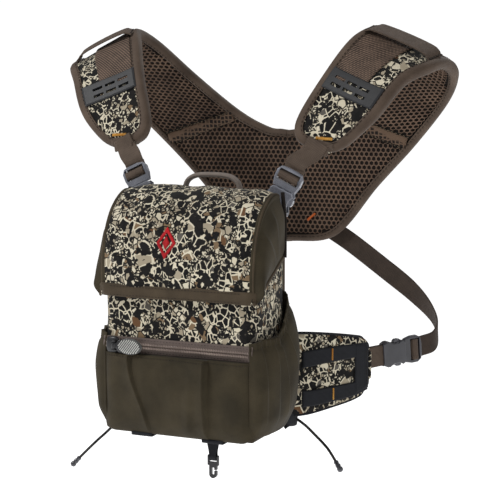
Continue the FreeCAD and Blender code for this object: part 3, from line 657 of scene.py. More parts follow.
def hexagon_cells(name, cells, place_point, top, base):
    """A raised net: one ring of yarn round each hole, from cell centres on a flat layout."""
    radius = NET_PITCH / math.sqrt(3)
    points = []
    faces = []
    for centre_u, centre_v in cells:
        start = len(points)
        for reach, height in ((1.0, top), (0.79, top), (0.72, base)):
            for corner in range(6):
                angle = math.pi / 3 * corner + math.pi / 6
                spot = (centre_u + radius * reach * math.cos(angle),
                        centre_v + radius * reach * math.sin(angle))
                points.append(place_point(*spot, height))
        for ring in (0, 6):
            for corner in range(6):
                after = (corner + 1) % 6
                faces.append((start + ring + corner, start + ring + after, start + ring + 6 + after,
                              start + ring + 6 + corner))
    net = build(name, points, faces, MESH)
    weld(net)
    return net


def lattice(low_u, high_u, low_v, high_v, inside):
    """Centres of a hexagonal lattice for which inside(u, v) is true."""
    cells = []
    rise = NET_PITCH * math.sqrt(3) / 2
    row = 0
    v = low_v
    while v <= high_v:
        u = low_u + (NET_PITCH / 2 if row % 2 else 0)
        while u <= high_u:
            if inside(u, v):
                cells.append((u, v))
            u += NET_PITCH
        v += rise
        row += 1
    return cells


def make_arm_nets():
    """The open net on the pad's inner face, along each arm from the tip to the seam."""
    places = [ARM_SEAM * step / 300 for step in range(301)]
    middles = [pad_flat(place, 0.5) for place in places]
    lengths = [0.0]
    for first, second in zip(middles, middles[1:]):
        lengths.append(lengths[-1] + (second - first).length)

    def at(length):
        length = min(max(length, 0.0), lengths[-1])
        low, high = 0, 300
        while high - low > 1:
            middle = (low + high) // 2
            if lengths[middle] <= length:
                low = middle
            else:
                high = middle
        return lerp(places[low], places[high], (length - lengths[low]) / (lengths[high] - lengths[low]))

    def width(place):
        return (spline(OUTER_EDGE, place) - spline(INNER_EDGE, place)).length

    def inside(u, v):
        return abs(v) < width(at(u)) / 2 - 6.5

    cells = lattice(9, lengths[-1] - 4, -45, 45, inside)
    for side, label in SIDES:
        def place_point(u, v, height):
            place = at(u)
            return pad_point(side, place, 0.5 + v / width(place), height)

        net = hexagon_cells(f"arm_net_{label}", cells, place_point, -5.0, -4.0)
        if side == 1:
            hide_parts("mesh_lining")


def make_yoke_net(pad):
    """The net on the yoke between the two arm seams, laid out flat and dropped on the pad."""
    tree = BVHTree.FromPolygons([vertex.co / MM for vertex in pad.data.vertices],
                                [tuple(face.vertices) for face in pad.data.polygons])
    seam_inner = pad_flat(ARM_SEAM + 0.25, 0)
    seam_outer = pad_flat(ARM_SEAM + 0.25, 1)
    seam = seam_outer - seam_inner

    def hit(u, v):
        found = tree.ray_cast(Vector((u, 60, v)), TOWARDS_WEARER, 130)
        return found[0]

    def inside(u, v):
        side = (abs(u) - seam_inner.x) * seam.z - (v - seam_inner.z) * seam.x
        if side < seam.length * 2.0:
            return False
        return all(hit(u + step_u, v + step_v) for step_u, step_v in ((7, 0), (-7, 0), (0, 7), (0, -7)))

    def place_point(u, v, height):
        found = hit(u, v)
        depth = found.y if found else 160
        return Vector((u, depth + height, v))

    cells = lattice(-125, 125, 44, 190, inside)
    net = hexagon_cells("yoke_net", cells, place_point, -1.0, 0.0)


def make_arm_seams():
    """The padded fold where each arm's lining meets the yoke's, and the flat seam on the cover's side."""
    count = 25
    place = ARM_SEAM + 0.12
    near, span = 0.07, 0.86
    for side, label in SIDES:
        for face, height, width, thick, material in (("lining", -5.0, 11, 3.6, NETTING),
                                                     ("cover", 4.5, 7, 1.3, BINDING)):
            fractions = [near + span * step / (count - 1) for step in range(count)]
            points = [pad_point(side, place, across, height) for across in fractions]
            normals = [side_normal(side, place, across) for across in fractions]
            across_axis = [(points[min(i + 1, count - 1)] - points[max(i - 1, 0)]).cross(normals[i])
                           for i in range(count)]
            section = tape_profile(width, thick)
            if face == "lining":
                section = ring_profile(width / 2, thick / 2, 16)
            seam = sweep(f"arm_seam_{face}_{label}", path_frames(points, across_axis), section, material)
            if face == "cover":
                continue
            for row, offset in (("near", -0.13), ("far", 0.13)):
                line = [pad_point(side, place + offset, near + span * step / 300, -5.4)
                        for step in range(301)]
                stitch_row = stitches(f"arm_seam_stitches_{row}_{label}", line, [-normals[12]] * 301,
                                      PALE_THREAD)
    tab = bartack("yoke_tab", (27, 158.6, 67), (0.76, 0, 0.65), (0, -1, 0), 11, 2.6, ORANGE)


def pad_band(name, side, places, across, height, thick, material, ribs=0, rib_height=0.2):
    """Tape lying on the pad between two fractions across it."""
    steps = 44
    near, far = across
    columns = max(ribs * 2, 16)
    outer = []
    inner = []
    for step in range(steps + 1):
        place = lerp(places[0], places[1], step / steps)
        top = []
        bottom = []
        for column in range(columns + 1):
            at = lerp(near, far, column / columns)
            ridge = rib_height if ribs and column % 2 else 0.0
            edge = 0.35 * thick if column in (0, columns) else 0.0
            top.append(pad_point(side, place, at, height + thick + ridge - edge))
            bottom.append(pad_point(side, place, at, height))
        outer.append(top)
        inner.append(bottom)
    return shell(name, outer, inner, material)


def make_pad_trim():
    """Wide webbing over each shoulder, the slotted lash patch, the keeper on the crest and the bartacks."""
    for side, label in SIDES:
        wide = pad_band(f"wide_webbing_{label}", side, (1.86, 4.55), (0.10, 0.62), 4.2, 1.3, WIDE, ribs=24,
                        rib_height=0.3)
        hem = pad_band(f"shoulder_hem_{label}", side, (4.3, 4.9), (0.07, 0.93), 4.3, 1.2, BINDING)
        keeper = make_keeper(side, label)
        make_lash_patch(side, label)
        if side == 1:
            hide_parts("wide_webbing")
            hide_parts("crest_loops")
        tack = bartack(f"tip_bartack_{label}", pad_point(side, TIP_TURN, 0.52, 4.6),
                       side_direction(side, TIP_TURN), side_normal(side, TIP_TURN, 0.5), 15, 3.0, GOLD)


def make_keeper(side, label):
    """A flat keeper loop that stands off the pad's crest, sewn down beside both edges."""
    place = 3.45
    route = [(0.02, 4.6), (0.05, 5.4), (0.085, 7.6), (0.14, 9.5), (0.3, 10.4), (0.5, 10.6), (0.7, 10.2),
             (0.82, 9.2), (0.875, 7.4), (0.91, 5.3), (0.95, 4.6)]
    points = curve([pad_point(side, place, across, height) for across, height in route], 70)
    forward = pad_point(side, place + 0.1, 0.5, 5) - pad_point(side, place - 0.1, 0.5, 5)
    keeper = tape(f"crest_keeper_{label}", points, forward, 21, 1.3, WEB, ribs=9)
    for across in (0.045, 0.925):
        tack = bartack(f"keeper_bartack_{label}_{int(across * 100)}", pad_point(side, place, across, 6.0),
                       forward, side_normal(side, place, across), 18, 1.8, THREAD)
    return keeper


def side_direction(side, place):
    """The direction across the pad at a place."""
    direction = pad_flat(place, 1) - pad_flat(place, 0)
    return Vector((direction.x * side, direction.y, direction.z)).normalized()


def make_lash_patch(side, label):
    """A moulded patch with two rows of slots cut through it, lying a little aslant on the pad."""
    rows = [0, 1, 4.0, 6.6, 10.4, 13.0, 16, 18, 19]
    columns = [0, 1.5, 6, 15.5, 18, 27.5, 30, 39.5, 48, 49.5]
    slot_rows = {2, 4}
    slot_columns = {2, 4, 6}
    fine = []
    for low, high in zip(columns, columns[1:]):
        pieces = max(int((high - low) / 1.6), 1)
        fine += [lerp(low, high, part / pieces) for part in range(pieces)]
    fine.append(columns[-1])

    def in_slot(row, across):
        column = max(index for index, edge in enumerate(columns[:-1]) if edge <= across + 1e-6)
        return row in slot_rows and column in slot_columns

    def spot(row, across, height):
        fraction = 0.08 + across / columns[-1] * 0.82
        lean = 0.62 * (0.5 - fraction)
        return pad_point(side, 1.48 + lean + rows[row] / rows[-1] * 0.46, fraction, height)

    points = []
    index = {}
    for level, height in ((0, 6.4), (1, 4.2)):
        for row in range(len(rows)):
            for column, across in enumerate(fine):
                rim = row in (0, len(rows) - 1) or across in (0, columns[-1])
                index[level, row, column] = len(points)
                points.append(spot(row, across, height - (0.7 if rim and level == 0 else 0)))
    faces = []
    solid = {(row, column): not in_slot(row, fine[column]) for row in range(len(rows) - 1)
             for column in range(len(fine) - 1)}
    for (row, column), filled in solid.items():
        if not filled:
            continue
        a, b, c, d = (row, column), (row, column + 1), (row + 1, column + 1), (row + 1, column)
        faces.append(tuple(index[0, *corner] for corner in (a, b, c, d)))
        faces.append(tuple(index[1, *corner] for corner in (d, c, b, a)))
        for first, second, beside in ((a, b, (row - 1, column)), (b, c, (row, column + 1)),
                                      (c, d, (row + 1, column)), (d, a, (row, column - 1))):
            if not solid.get(beside, False):
                faces.append((index[0, *first], index[1, *first], index[1, *second], index[0, *second]))
    patch = build(f"lash_patch_{label}", points, faces, RUBBER, flat=True)
    fix_normals(patch)
    if side == 1:
        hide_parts("lash_patches")


# ---------------------------------------------------------------- straps at the buckles

def buckle_axes(kind, side):
    """Mouth, width, outward and parting axes of a buckle, as in the frame's design."""
    mouth, way, outward = {
        "shoulder": ((70.5, -17.9, 108.5), (0.41, 0.05, 0.91), (0, -1, 0)),
        "side": ((145.9, 91.5, -47.2), (0.617, 0.782, 0.082), (0.782, -0.617, 0)),
    }[kind]
    mouth, way, outward = (Vector((x * side, y, z)) for x, y, z in (mouth, way, outward))
    way.normalize()
    outward = (outward - way * outward.dot(way)).normalized()
    return mouth, outward.cross(way), outward, way


def local_path(kind, side, route, count):
    """A smooth path from (outward, along) places in a buckle's own frame."""
    mouth, _, outward, way = buckle_axes(kind, side)
    return curve([mouth + outward * out + way * up for out, up in route], count)


WRAP = [(-3.5, 22), (-3.4, 18.4), (-2.6, 15.8), (0, 14.4), (2.9, 13.6), (3.6, 11.4), (3.0, 9.2), (0, 8.2),
        (-3.0, 7.8), (-4.6, 10), (-4.9, 16), (-4.9, 21)]


WRAP_WIDTH = 19.4
STRAP_WIDTH = 19.6


def make_wraps():
    """Webbing threaded through each ladder frame, and the doubled webbing that holds each sleeve."""
    sleeve_fold = [(-1.6, 0), (-1.6, 12), (-1.5, 20), (-1.0, 23.2), (0, 24), (1.0, 23.2), (1.5, 20),
                   (1.6, 12), (1.6, 0)]
    for kind, tab_end, node, wrap_node in (("shoulder", -44, "anchor_tabs", "shoulder_webbing"),
                                           ("side", -40, "wing_straps", None)):
        for side, label in SIDES:
            width = buckle_axes(kind, side)[1]
            wrap = tape(f"{kind}_wrap_{label}", local_path(kind, side, WRAP, 60), width,
                        WRAP_WIDTH, 1.15, WEB, ribs=9)
            fold = [(out, tab_end + up * (-20 - tab_end) / 24) for out, up in sleeve_fold]
            tab = tape(f"{kind}_tab_{label}", local_path(kind, side, fold, 50), width,
                       WRAP_WIDTH, 1.15, WEB, ribs=9)
            if side == 1:
                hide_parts(node)
                if wrap_node:
                    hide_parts(wrap_node)


def flipped(items, side):
    return [Vector((item[0] * side, item[1], item[2])) for item in items]


def make_shoulder_straps():
    """The strap from each shoulder buckle to the pad's tip, with the doubled hem at its top."""
    for side, label in SIDES:
        mouth, width, outward, way = buckle_axes("shoulder", side)
        start = mouth + outward * -3.5 + way * 20
        stations = [start, mouth + outward * -3.4 + way * 26]
        stations += flipped([(91, -5.6, 140), (97, -4.2, 150)], side)
        points = curve(stations, 34)
        ends = [width * -side, Vector((side, 0.1, -0.25))]
        across = [ends[0].lerp(ends[1], smooth(step / 20)) for step in range(34)]
        strap = tape(f"shoulder_strap_{label}", points, across, STRAP_WIDTH, 1.2, WEB, ribs=9)
        for row, (place, height) in enumerate(((0.03, 5.6), (0.22, 4.9))):
            spots = [lerp(0.2, 0.8, step / 12) for step in range(13)]
            hem_points = [pad_point(side, place, at, height) for at in spots]
            along = pad_flat(place + 0.1, 0.5) - pad_flat(place, 0.5)
            along.x *= side
            hem = tape(f"strap_hem_{row}_{label}", hem_points, along, 9 - 3 * row, 1.6, WEB, ribs=5)


def make_side_straps():
    """The strap from each side buckle round to the lower corner of the yoke."""
    for side, label in SIDES:
        mouth, width, outward, way = buckle_axes("side", side)
        start = mouth + outward * -3.5 + way * 21
        stations = [start] + flipped([(165, 124, -42), (164, 139, -32), (153, 152, -19), (130, 162, -1),
                                      (98, 167.5, 20), (66, 170.4, 41), (46, 170.6, 53)], side)
        turns = [width * side] + flipped([(0, 0, 1), (-0.1, -0.2, 1), (0.1, -0.1, 1), (0.35, 0, 1),
                                          (0.5, 0, 1), (0.55, 0, 1), (0.6, 0, 1)], side)
        turns[0] = turns[0] * (1 if turns[0].z > 0 else -1)
        count = 110
        across = [spline(turns, 7 * step / (count - 1)) for step in range(count)]
        # the side strap takes the webbing copy darkened with painted shade
        strap = tape(f"side_strap_{label}", curve(stations, count), across, STRAP_WIDTH, 1.3,
                     SHADED_WEB, ribs=9)
        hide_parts(f"side_strap_{label}")
        for row in range(2):
            spot = Vector((side * (56 - 8 * row), 171.6, 48 + 5.5 * row))
            tack = bartack(f"yoke_bartack_{row}_{label}", spot, (0.55 * side, 0, 0.85), (0, 1, 0),
                           15, 2, THREAD)


# ---------------------------------------------------------------- bag

FRONT = -85.5
BODY_HALF = 72.5
CORNER = 11


def plan_path(offset, count):
    """The bag's outline in plan, from its rear right edge round the front to its rear left edge."""
    half = BODY_HALF + offset
    front = FRONT - offset
    right = [Vector((66 + offset, -9.5, 0)), Vector((half - 2, -22, 0)), Vector((half, -32, 0)),
             Vector((half, -58, 0))]
    for step in range(7):
        turn = math.pi / 2 * step / 6
        right.append(Vector((half - CORNER + CORNER * math.cos(turn),
                             front + CORNER - CORNER * math.sin(turn), 0)))
    right += [Vector((half * 0.45, front, 0))]
    left = [Vector((-point.x, point.y, 0)) for point in reversed(right)]
    return curve(right + [Vector((0, front, 0))] + left, count)


def wall_top(point):
    """The wall's top edge, low in front and rising along the sides."""
    return min(26 + max(point.y - FRONT, 0) * 0.42, 58)


def make_walls():
    """The printed wall that runs round both sides and the front, with a taped top edge."""
    count = 120
    levels = 40
    outer_plan = plan_path(0, count)
    inner_plan = plan_path(-3, count)
    outer = []
    inner = []
    for level in range(levels + 1):
        part = level / levels
        row_outer = []
        row_inner = []
        for out, within in zip(outer_plan, inner_plan):
            height = lerp(-98, wall_top(out), part)
            swell = wrinkle((out.x, out.y, height), 26, 0.9)
            away = (out - within).normalized()
            row_outer.append(Vector((out.x, out.y, height)) + away * (swell - 0.2))
            row_inner.append(Vector((within.x, within.y, height)))
        outer.append(row_outer)
        inner.append(row_inner)
    wall = shell("bag_wall", outer, inner, CAMO, slots=[BROWN], pick=lambda row, column: (0, 1))
    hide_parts("front_panel", "side_panel_left", "side_panel_right")
    rim = [out.lerp(within, 0.5) + Vector((0, 0, wall_top(out)))
           for out, within in zip(outer_plan, inner_plan)]
    edge = sweep("wall_top_tape", path_frames(rim, UP), ring_profile(2.6, 2.1, 10), BINDING)


def rounded_slab(name, half_x, low_y, high_y, low_z, high_z, radius, material):
    """A cloth-covered board: edges rounded all round and a slight unevenness."""
    corners = [(x, y, z) for x in (-half_x, half_x) for y in (low_y, high_y) for z in (low_z, high_z)]
    faces = [(0, 1, 3, 2), (4, 6, 7, 5), (0, 4, 5, 1), (2, 3, 7, 6), (0, 2, 6, 4), (1, 5, 7, 3)]
    thing = build(name, corners, faces, material)
    mesh = bmesh.new()
    mesh.from_mesh(thing.data)
    bmesh.ops.bevel(mesh, geom=mesh.edges[:], offset=radius * MM, segments=4, profile=0.5, affect="EDGES")
    bmesh.ops.subdivide_edges(mesh, edges=[e for e in mesh.edges if e.calc_length() > 0.02], cuts=6,
                              use_grid_fill=True)
    bmesh.ops.recalc_face_normals(mesh, faces=mesh.faces)
    for vertex in mesh.verts:
        vertex.co += vertex.normal * noise(vertex.co / (24 * MM)) * 0.5 * MM
    mesh.to_mesh(thing.data)
    mesh.free()
    return thing


def make_boards():
    """The cloth-covered boards: the floor, the ledge that the lid closes on and the back panel."""
    for name, node, sizes in (("floor_cloth", "floor_panel", (71.5, -85.5, -8, -102, -94.5, 3.4)),
                              ("ledge_cloth", "rear_ledge", (62, -25, -10, 60, 63, 1.2)),
                              ("back_cloth", "back_panel", (66, -10, -6.1, -96, 98, 1.7))):
        board = rounded_slab(name, *sizes, BROWN)
        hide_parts(node)


def make_runners():
    """Two webbing runners under the floor, from the front edge to the back panel."""
    route = [(-85, -101), (-88.5, -103), (-84, -104.4), (-60, -103.6), (-30, -103.4), (-10, -103)]
    runners = []
    for side in (1, -1):
        points = curve([Vector((side * 34, y, z)) for y, z in route], 50)
        runners.append(tape(f"runner_{side}", points, RIGHT, 20, 1.6, BLACK_WEB, ribs=9))
    runner = join("floor_runners", runners)
    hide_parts("bottom_webbing")


def make_corner_tabs():
    """A folded webbing tab at each lower rear corner, which holds the cord's end."""
    route = [(70, -8, -84), (72.5, -6.5, -92), (73, -4.5, -99), (71.5, -3.8, -104.5), (69.8, -4.6, -99),
             (69, -6, -92)]
    tabs = []
    for side in (1, -1):
        across = (0.55 * side, 0.8, 0.1)
        tabs.append(tape(f"corner_tab_{side}", curve(flipped(route, side), 40), across, 13, 1.3, BLACK_WEB,
                         ribs=6))
    tab = join("corner_tabs", tabs)
    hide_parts("cord_tabs")


def fold_height(distance, height, rise, fall, drop=1.2):
    """A lapped pleat: swells towards the line from one side and drops sharply past it."""
    if distance < 0:
        return height * math.exp(distance / rise)
    past = smooth(distance / drop)
    return height * (1 - past) - 0.35 * height * past * math.exp(-distance / fall)


POCKET_LOW = -102.5
POCKET_TOP = -32.5


def pocket_depth(x, z):
    """How far the front pocket's face stands off its back at a place."""
    part_x = min(abs(x) / 73, 1)
    part_z = (z - POCKET_LOW) / (POCKET_TOP - POCKET_LOW)
    edge_x = 1 - part_x ** 9
    edge_low = math.sin(min(part_z / 0.2, 1) * math.pi / 2) ** 0.7
    body = 5.2 * edge_x * (0.1 + 0.9 * edge_low)
    puff = 4.6 * edge_x * math.sin(math.pi * (1 - part_z) ** 0.8) * (1 - part_x ** 2)
    dart = lerp(-26, -44, smooth((z + 97) / 64))
    pleat_fade = 0.45 + 0.55 * part_z
    folds = fold_height(x - 29.5, 6.0 * pleat_fade, 13, 9, 1.6)
    folds += fold_height(x - dart, 3.4, 11, 8, 1.6) * (0.55 + 0.45 * part_z)
    folds += 2.2 * math.exp(-((x - 12 - 8 * part_z) / 5) ** 2) * (1 - part_z)
    soft = wrinkle((x * 0.7, 11, z * 0.35), 9, 0.8) + wrinkle((x, 4, z * 0.6), 24, 1.8)
    return body + puff + (folds + soft) * edge_x * edge_low


def pocket_low(x):
    """The pocket's lower edge, rounded up at both corners."""
    past = max(abs(x) - 59, 0) / 14
    return POCKET_LOW + 13 * (1 - math.sqrt(max(1 - past ** 2, 0)))


def make_front_pocket():
    """The stretch pocket: a puffed face with a lapped pleat and a slanted dart."""
    columns = 180
    rows = 84
    outer = []
    inner = []
    for row in range(rows + 1):
        top = []
        base = []
        for column in range(columns + 1):
            x = lerp(-73, 73, column / columns)
            z = lerp(pocket_low(x), POCKET_TOP, row / rows)
            drop = CORNER * (1 - math.sqrt(max(1 - (max(abs(x) - (73 - CORNER), 0) / CORNER) ** 2, 0))) * 0.55
            top.append(Vector((x, FRONT + drop - pocket_depth(x, z) - 0.6, z)))
            base.append(Vector((x * 0.995, FRONT + drop + 0.4, z)))
        outer.append(top)
        inner.append(base)
    pocket = shell("front_pocket_cloth", outer, inner, BROWN)
    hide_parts("front_pocket")
    z = POCKET_TOP - 2.2
    xs = [lerp(-70, 70, step / 700) for step in range(701)]
    points = [Vector((x, FRONT - pocket_depth(x, z) - 0.65, z)) for x in xs]
    row = fine_stitches("pocket_stitches_upper", points, [TO_FRONT] * 701)


SIDE_PLAN = [(67.5, -9, 0), (74.5, -15, 0), (79, -27, 0), (81, -45, 0), (80, -62, 0), (77, -76, 0),
             (73.5, -85, 0), (69, -88.6, 0)]


def side_hem(part):
    """The stretch pocket's top edge, from the rear to the front of its plan."""
    return lerp(19, -14, smooth(part * 1.7)) - 2 * smooth((part - 0.8) * 5)


def make_side_pockets():
    """The stretch side pockets, with gathers that run down from an elastic hem."""
    columns = 110
    rows = 70
    plan = curve(SIDE_PLAN, columns + 1)
    gathers = [(0.40, 0.20, 2.6), (0.60, 0.44, 3.4), (0.70, 0.66, 2.2), (0.88, 0.84, 2.6)]
    for side, label in SIDES:
        outer = []
        inner = []
        for row in range(rows + 1):
            part = row / rows
            top = []
            base = []
            for column, spot in enumerate(plan):
                at = column / columns
                before = plan[max(column - 1, 0)]
                after = plan[min(column + 1, columns)]
                way = (after - before).normalized()
                away = Vector((-way.y, way.x, 0))
                away = away if away.dot(spot - Vector((0, -45, 0))) > 0 else -away
                z = lerp(-97.5, side_hem(at), part)
                tuck = 7 * (1 - smooth(part * 5)) + 3.2 * smooth((part - 0.86) / 0.14)
                edge = smooth(at * 9) * smooth((1 - at) * 9)
                folds = 0.0
                for hem, foot, height in gathers:
                    line = lerp(foot, hem, part)
                    folds += fold_height((line - at) * 105, height * smooth(part * 1.3), 9, 6, 3.5)
                ripple = 0.5 * math.sin(at * 105 * 1.3) * smooth((part - 0.88) * 12)
                soft = wrinkle((spot.x, spot.y, z * 0.5), 20, 2.2)
                bulge = 9.5 * math.sin(math.pi * min(part * 1.1, 1)) ** 0.7 * (1 - 0.45 * at)
                shift = (bulge + folds + soft + ripple) * edge - tuck * 0.5
                point = spot + away * shift
                top.append(Vector((point.x * side, point.y, z)))
                point = spot - away * 2.4
                base.append(Vector((point.x * side, point.y, z)))
            outer.append(top)
            inner.append(base)
        pocket = shell(f"side_pocket_cloth_{label}", outer, inner, BROWN)
        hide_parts(f"side_pocket_{label}")
        hem_row = rows - 5
        points = [outer[hem_row][column] for column in range(columns + 1)]
        dense = curve(points, 500)
        normals = [(point - Vector((0, -45, point.z))).normalized() for point in dense]
        row = fine_stitches(f"side_hem_stitches_{label}", dense, normals)


# ---------------------------------------------------------------- zip

ZIP_LEVEL = -25.5
PIN = Vector((-57, -94.3, ZIP_LEVEL))


def make_zipper():
    """The woven tape, two rows of coil, the slider with its cap and the ribbed oval pull."""
    band = []
    back = []
    for row in range(13):
        z = lerp(-32.4, -18.6, row / 12)
        bend = 0.9 * math.cos((z - ZIP_LEVEL) / 6.9 * math.pi)
        band.append([Vector((x, -87.2 - bend * 0.6 + wrinkle((x, 0, z), 15, 0.3), z))
                     for x in (lerp(-71, 71, step / 90) for step in range(91))])
        back.append([Vector((x, -85.4, z)) for x in (lerp(-71, 71, step / 90) for step in range(91))])
    cloth = shell("zipper_tape_cloth", band, back, TAPE)
    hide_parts("zipper_tape")
    pieces = ([], [])
    for row, lean in ((-1, 0.5), (1, -0.5)):
        for index in range(86):
            x = -67.5 + index * 1.58 + (0.4 if row > 0 else 0)
            centre = Vector((x, -88.0, ZIP_LEVEL + row * 1.55))
            reach = Vector((0.35 * lean, 0, 1.15))
            add_stitch(pieces, centre - reach, centre + reach, TO_FRONT, 0.6, 0.0)
    teeth = build("zipper_coil", pieces[0], pieces[1], COIL)
    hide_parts("zipper_teeth")
    for label, z in (("upper", -20.4), ("lower", -30.6)):
        points = [Vector((x, -87.35, z)) for x in (lerp(-70, 70, step / 700) for step in range(701))]
        row = fine_stitches(f"zip_stitches_{label}", points, [TO_FRONT] * 701, 0.18)
    make_slider()
    make_pull()


def make_slider():
    """A rounded slider body with a folded black cap over its bridge."""
    profile = [(-6.6, 0), (-6.6, 1.4), (-5.4, 2.3), (-2, 2.8), (2, 2.8), (5.4, 2.3), (6.6, 1.4), (6.6, 0)]
    frames = [(Vector((x, -89.2, ZIP_LEVEL)), UP * wide, TO_FRONT * high)
              for x, wide, high in ((-66.2, 0.7, 0.6), (-64.8, 1, 1), (-60, 1.1, 1.05), (-57, 1.08, 1),
                                    (-54.9, 0.9, 0.8))]
    slider = sweep("slider_body", frames, profile, BLACK, body="zipper_slider")
    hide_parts("zipper_slider")
    arch = [(Vector((PIN.x, PIN.y, z)), RIGHT, TO_FRONT) for z in (-29.6, -28.9, -22.1, -21.4)]
    pin = sweep("slider_pin", arch, ring_profile(1, 1, 16), BLACK, body="zipper_slider")
    for label, z in (("low", -29.2), ("high", -21.8)):
        frames = [(Vector((PIN.x, -91.2 - step, z)), RIGHT, UP) for step in (0, 2, 3.6, 4.4)]
        ear = sweep(f"slider_ear_{label}", frames, ring_profile(2.1, 0.75, 14), BLACK, body="zipper_slider")


def make_pull():
    """An oval moulded grip with slanted ribs, a black collar and an eye round the pin."""
    centre = Vector((-41.8, PIN.y, ZIP_LEVEL))
    rings = 7
    count = 48
    profile = []
    for ring in range(rings + 1):
        turn = math.pi * ring / rings
        profile.append((math.sin(turn) ** 0.6, math.cos(turn)))
    points = []
    for squeeze, height in profile:
        for step in range(count):
            angle = 2 * math.pi * step / count
            points.append(centre + Vector((12.4 * squeeze * math.cos(angle), -1.15 * height,
                                           7.3 * squeeze * math.sin(angle))))
    faces = []
    for ring in range(rings):
        for step in range(count):
            after = (step + 1) % count
            faces.append((ring * count + step, ring * count + after, (ring + 1) * count + after,
                          (ring + 1) * count + step))
    grip = build("pull_grip", points, faces, PULL, body="zipper_pull")
    weld(grip)
    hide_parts("zipper_pull")
    ribs = []
    lean = Vector((0.62, 0, 0.78))
    step_way = Vector((0.78, 0, -0.62))
    for index in range(-6, 7):
        at = step_way * index * 1.65
        reach = 0.0
        while in_oval(at + lean * (reach + 0.4)) and reach < 14:
            reach += 0.4
        low = 0.0
        while in_oval(at - lean * (low + 0.4)) and low < 14:
            low += 0.4
        if reach + low < 2:
            continue
        for face in (-1, 1):
            line = [centre + at + lean * lerp(-low, reach, part / 8) + Vector((0, face * 1.25, 0))
                    for part in range(9)]
            ribs.append(sweep(f"pull_rib_{index}_{face}", path_frames(line, step_way),
                              ring_profile(0.5, 0.4, 8), PULL_RIB, body="zipper_pull"))
    rib = join("pull_ribs", ribs)
    frames = [(Vector((x, PIN.y, ZIP_LEVEL)), UP * wide, TO_FRONT)
              for x, wide in ((-55.4, 2.2), (-54.4, 2.5), (-52, 5.4), (-49.5, 5.9))]
    section = [(-1, -0.8), (-0.8, -1.35), (0.8, -1.35), (1, -0.8), (1, 0.8), (0.8, 1.35), (-0.8, 1.35), (-1, 0.8)]
    collar = sweep("pull_collar", frames, section, BLACK, body="zipper_pull")
    radius = 1.95
    eye = [(PIN + Vector((radius * math.cos(turn), radius * math.sin(turn), 0)),
            Vector((math.cos(turn), math.sin(turn), 0)), UP)
           for turn in (2 * math.pi * step / 24 for step in range(24))]
    ring = sweep("pull_eye", eye, ring_profile(0.5, 2.4, 12), BLACK, closed=True, body="zipper_pull")


def in_oval(offset):
    return (offset.x / 10.6) ** 2 + (offset.z / 6.2) ** 2 < 1


# ---------------------------------------------------------------- lid

LID_PROFILE = [Vector((0, y, z)) for y, z in ((-89.4, 17.5), (-90.8, 32), (-90.2, 48), (-87.5, 63), (-82, 78),
                                              (-73, 92), (-60, 103), (-46, 109), (-33, 108), (-26.6, 101),
                                              (-26, 84), (-26, 64.5))]
LID_HALF = 71.6


def profile_normals(points):
    normals = []
    for index in range(len(points)):
        way = points[min(index + 1, len(points) - 1)] - points[max(index - 1, 0)]
        normals.append(Vector((0, -way.z, way.y)).normalized())
    return normals


def make_lid():
    """The hood: soft printed cloth over foam, with a rounded crown."""
    count = 90
    columns = 84
    profile = curve(LID_PROFILE, count)
    normals = profile_normals(profile)
    outer = []
    inner = []
    for index in range(count):
        part = index / (count - 1)
        top = []
        base = []
        for column in range(columns + 1):
            across = lerp(-1, 1, column / columns)
            x = across * LID_HALF
            edge = abs(across)
            swell = 1.9 * (1 - edge ** 2.2) * math.sin(math.pi * min(part * 1.25, 1)) - 4.2 * edge ** 12
            soft = wrinkle((x, profile[index].y, profile[index].z * 0.45), 22, 2.1)
            soft += fold_height(-abs(x + 36), 1.6, 6, 7) * smooth(part * 4) * smooth((0.8 - part) * 3)
            soft -= fold_height(-abs(x - 47), 1.1, 6, 7) * smooth(part * 4) * smooth((0.8 - part) * 3)
            point = profile[index] + normals[index] * ((swell + soft * (1 - edge ** 6)) * smooth(part * 14))
            top.append(Vector((x, point.y, point.z)))
            within = profile[index] - normals[index] * 2.6
            base.append(Vector((x, within.y, within.z)))
        outer.append(top)
        inner.append(base)
    hood = shell("lid_cloth", outer, inner, CAMO, slots=[BROWN], pick=lambda row, column: (0, 1), body="lid")
    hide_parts("lid_shell")
    make_gussets(profile, normals)
    make_lip()
    make_emblem(outer, columns)


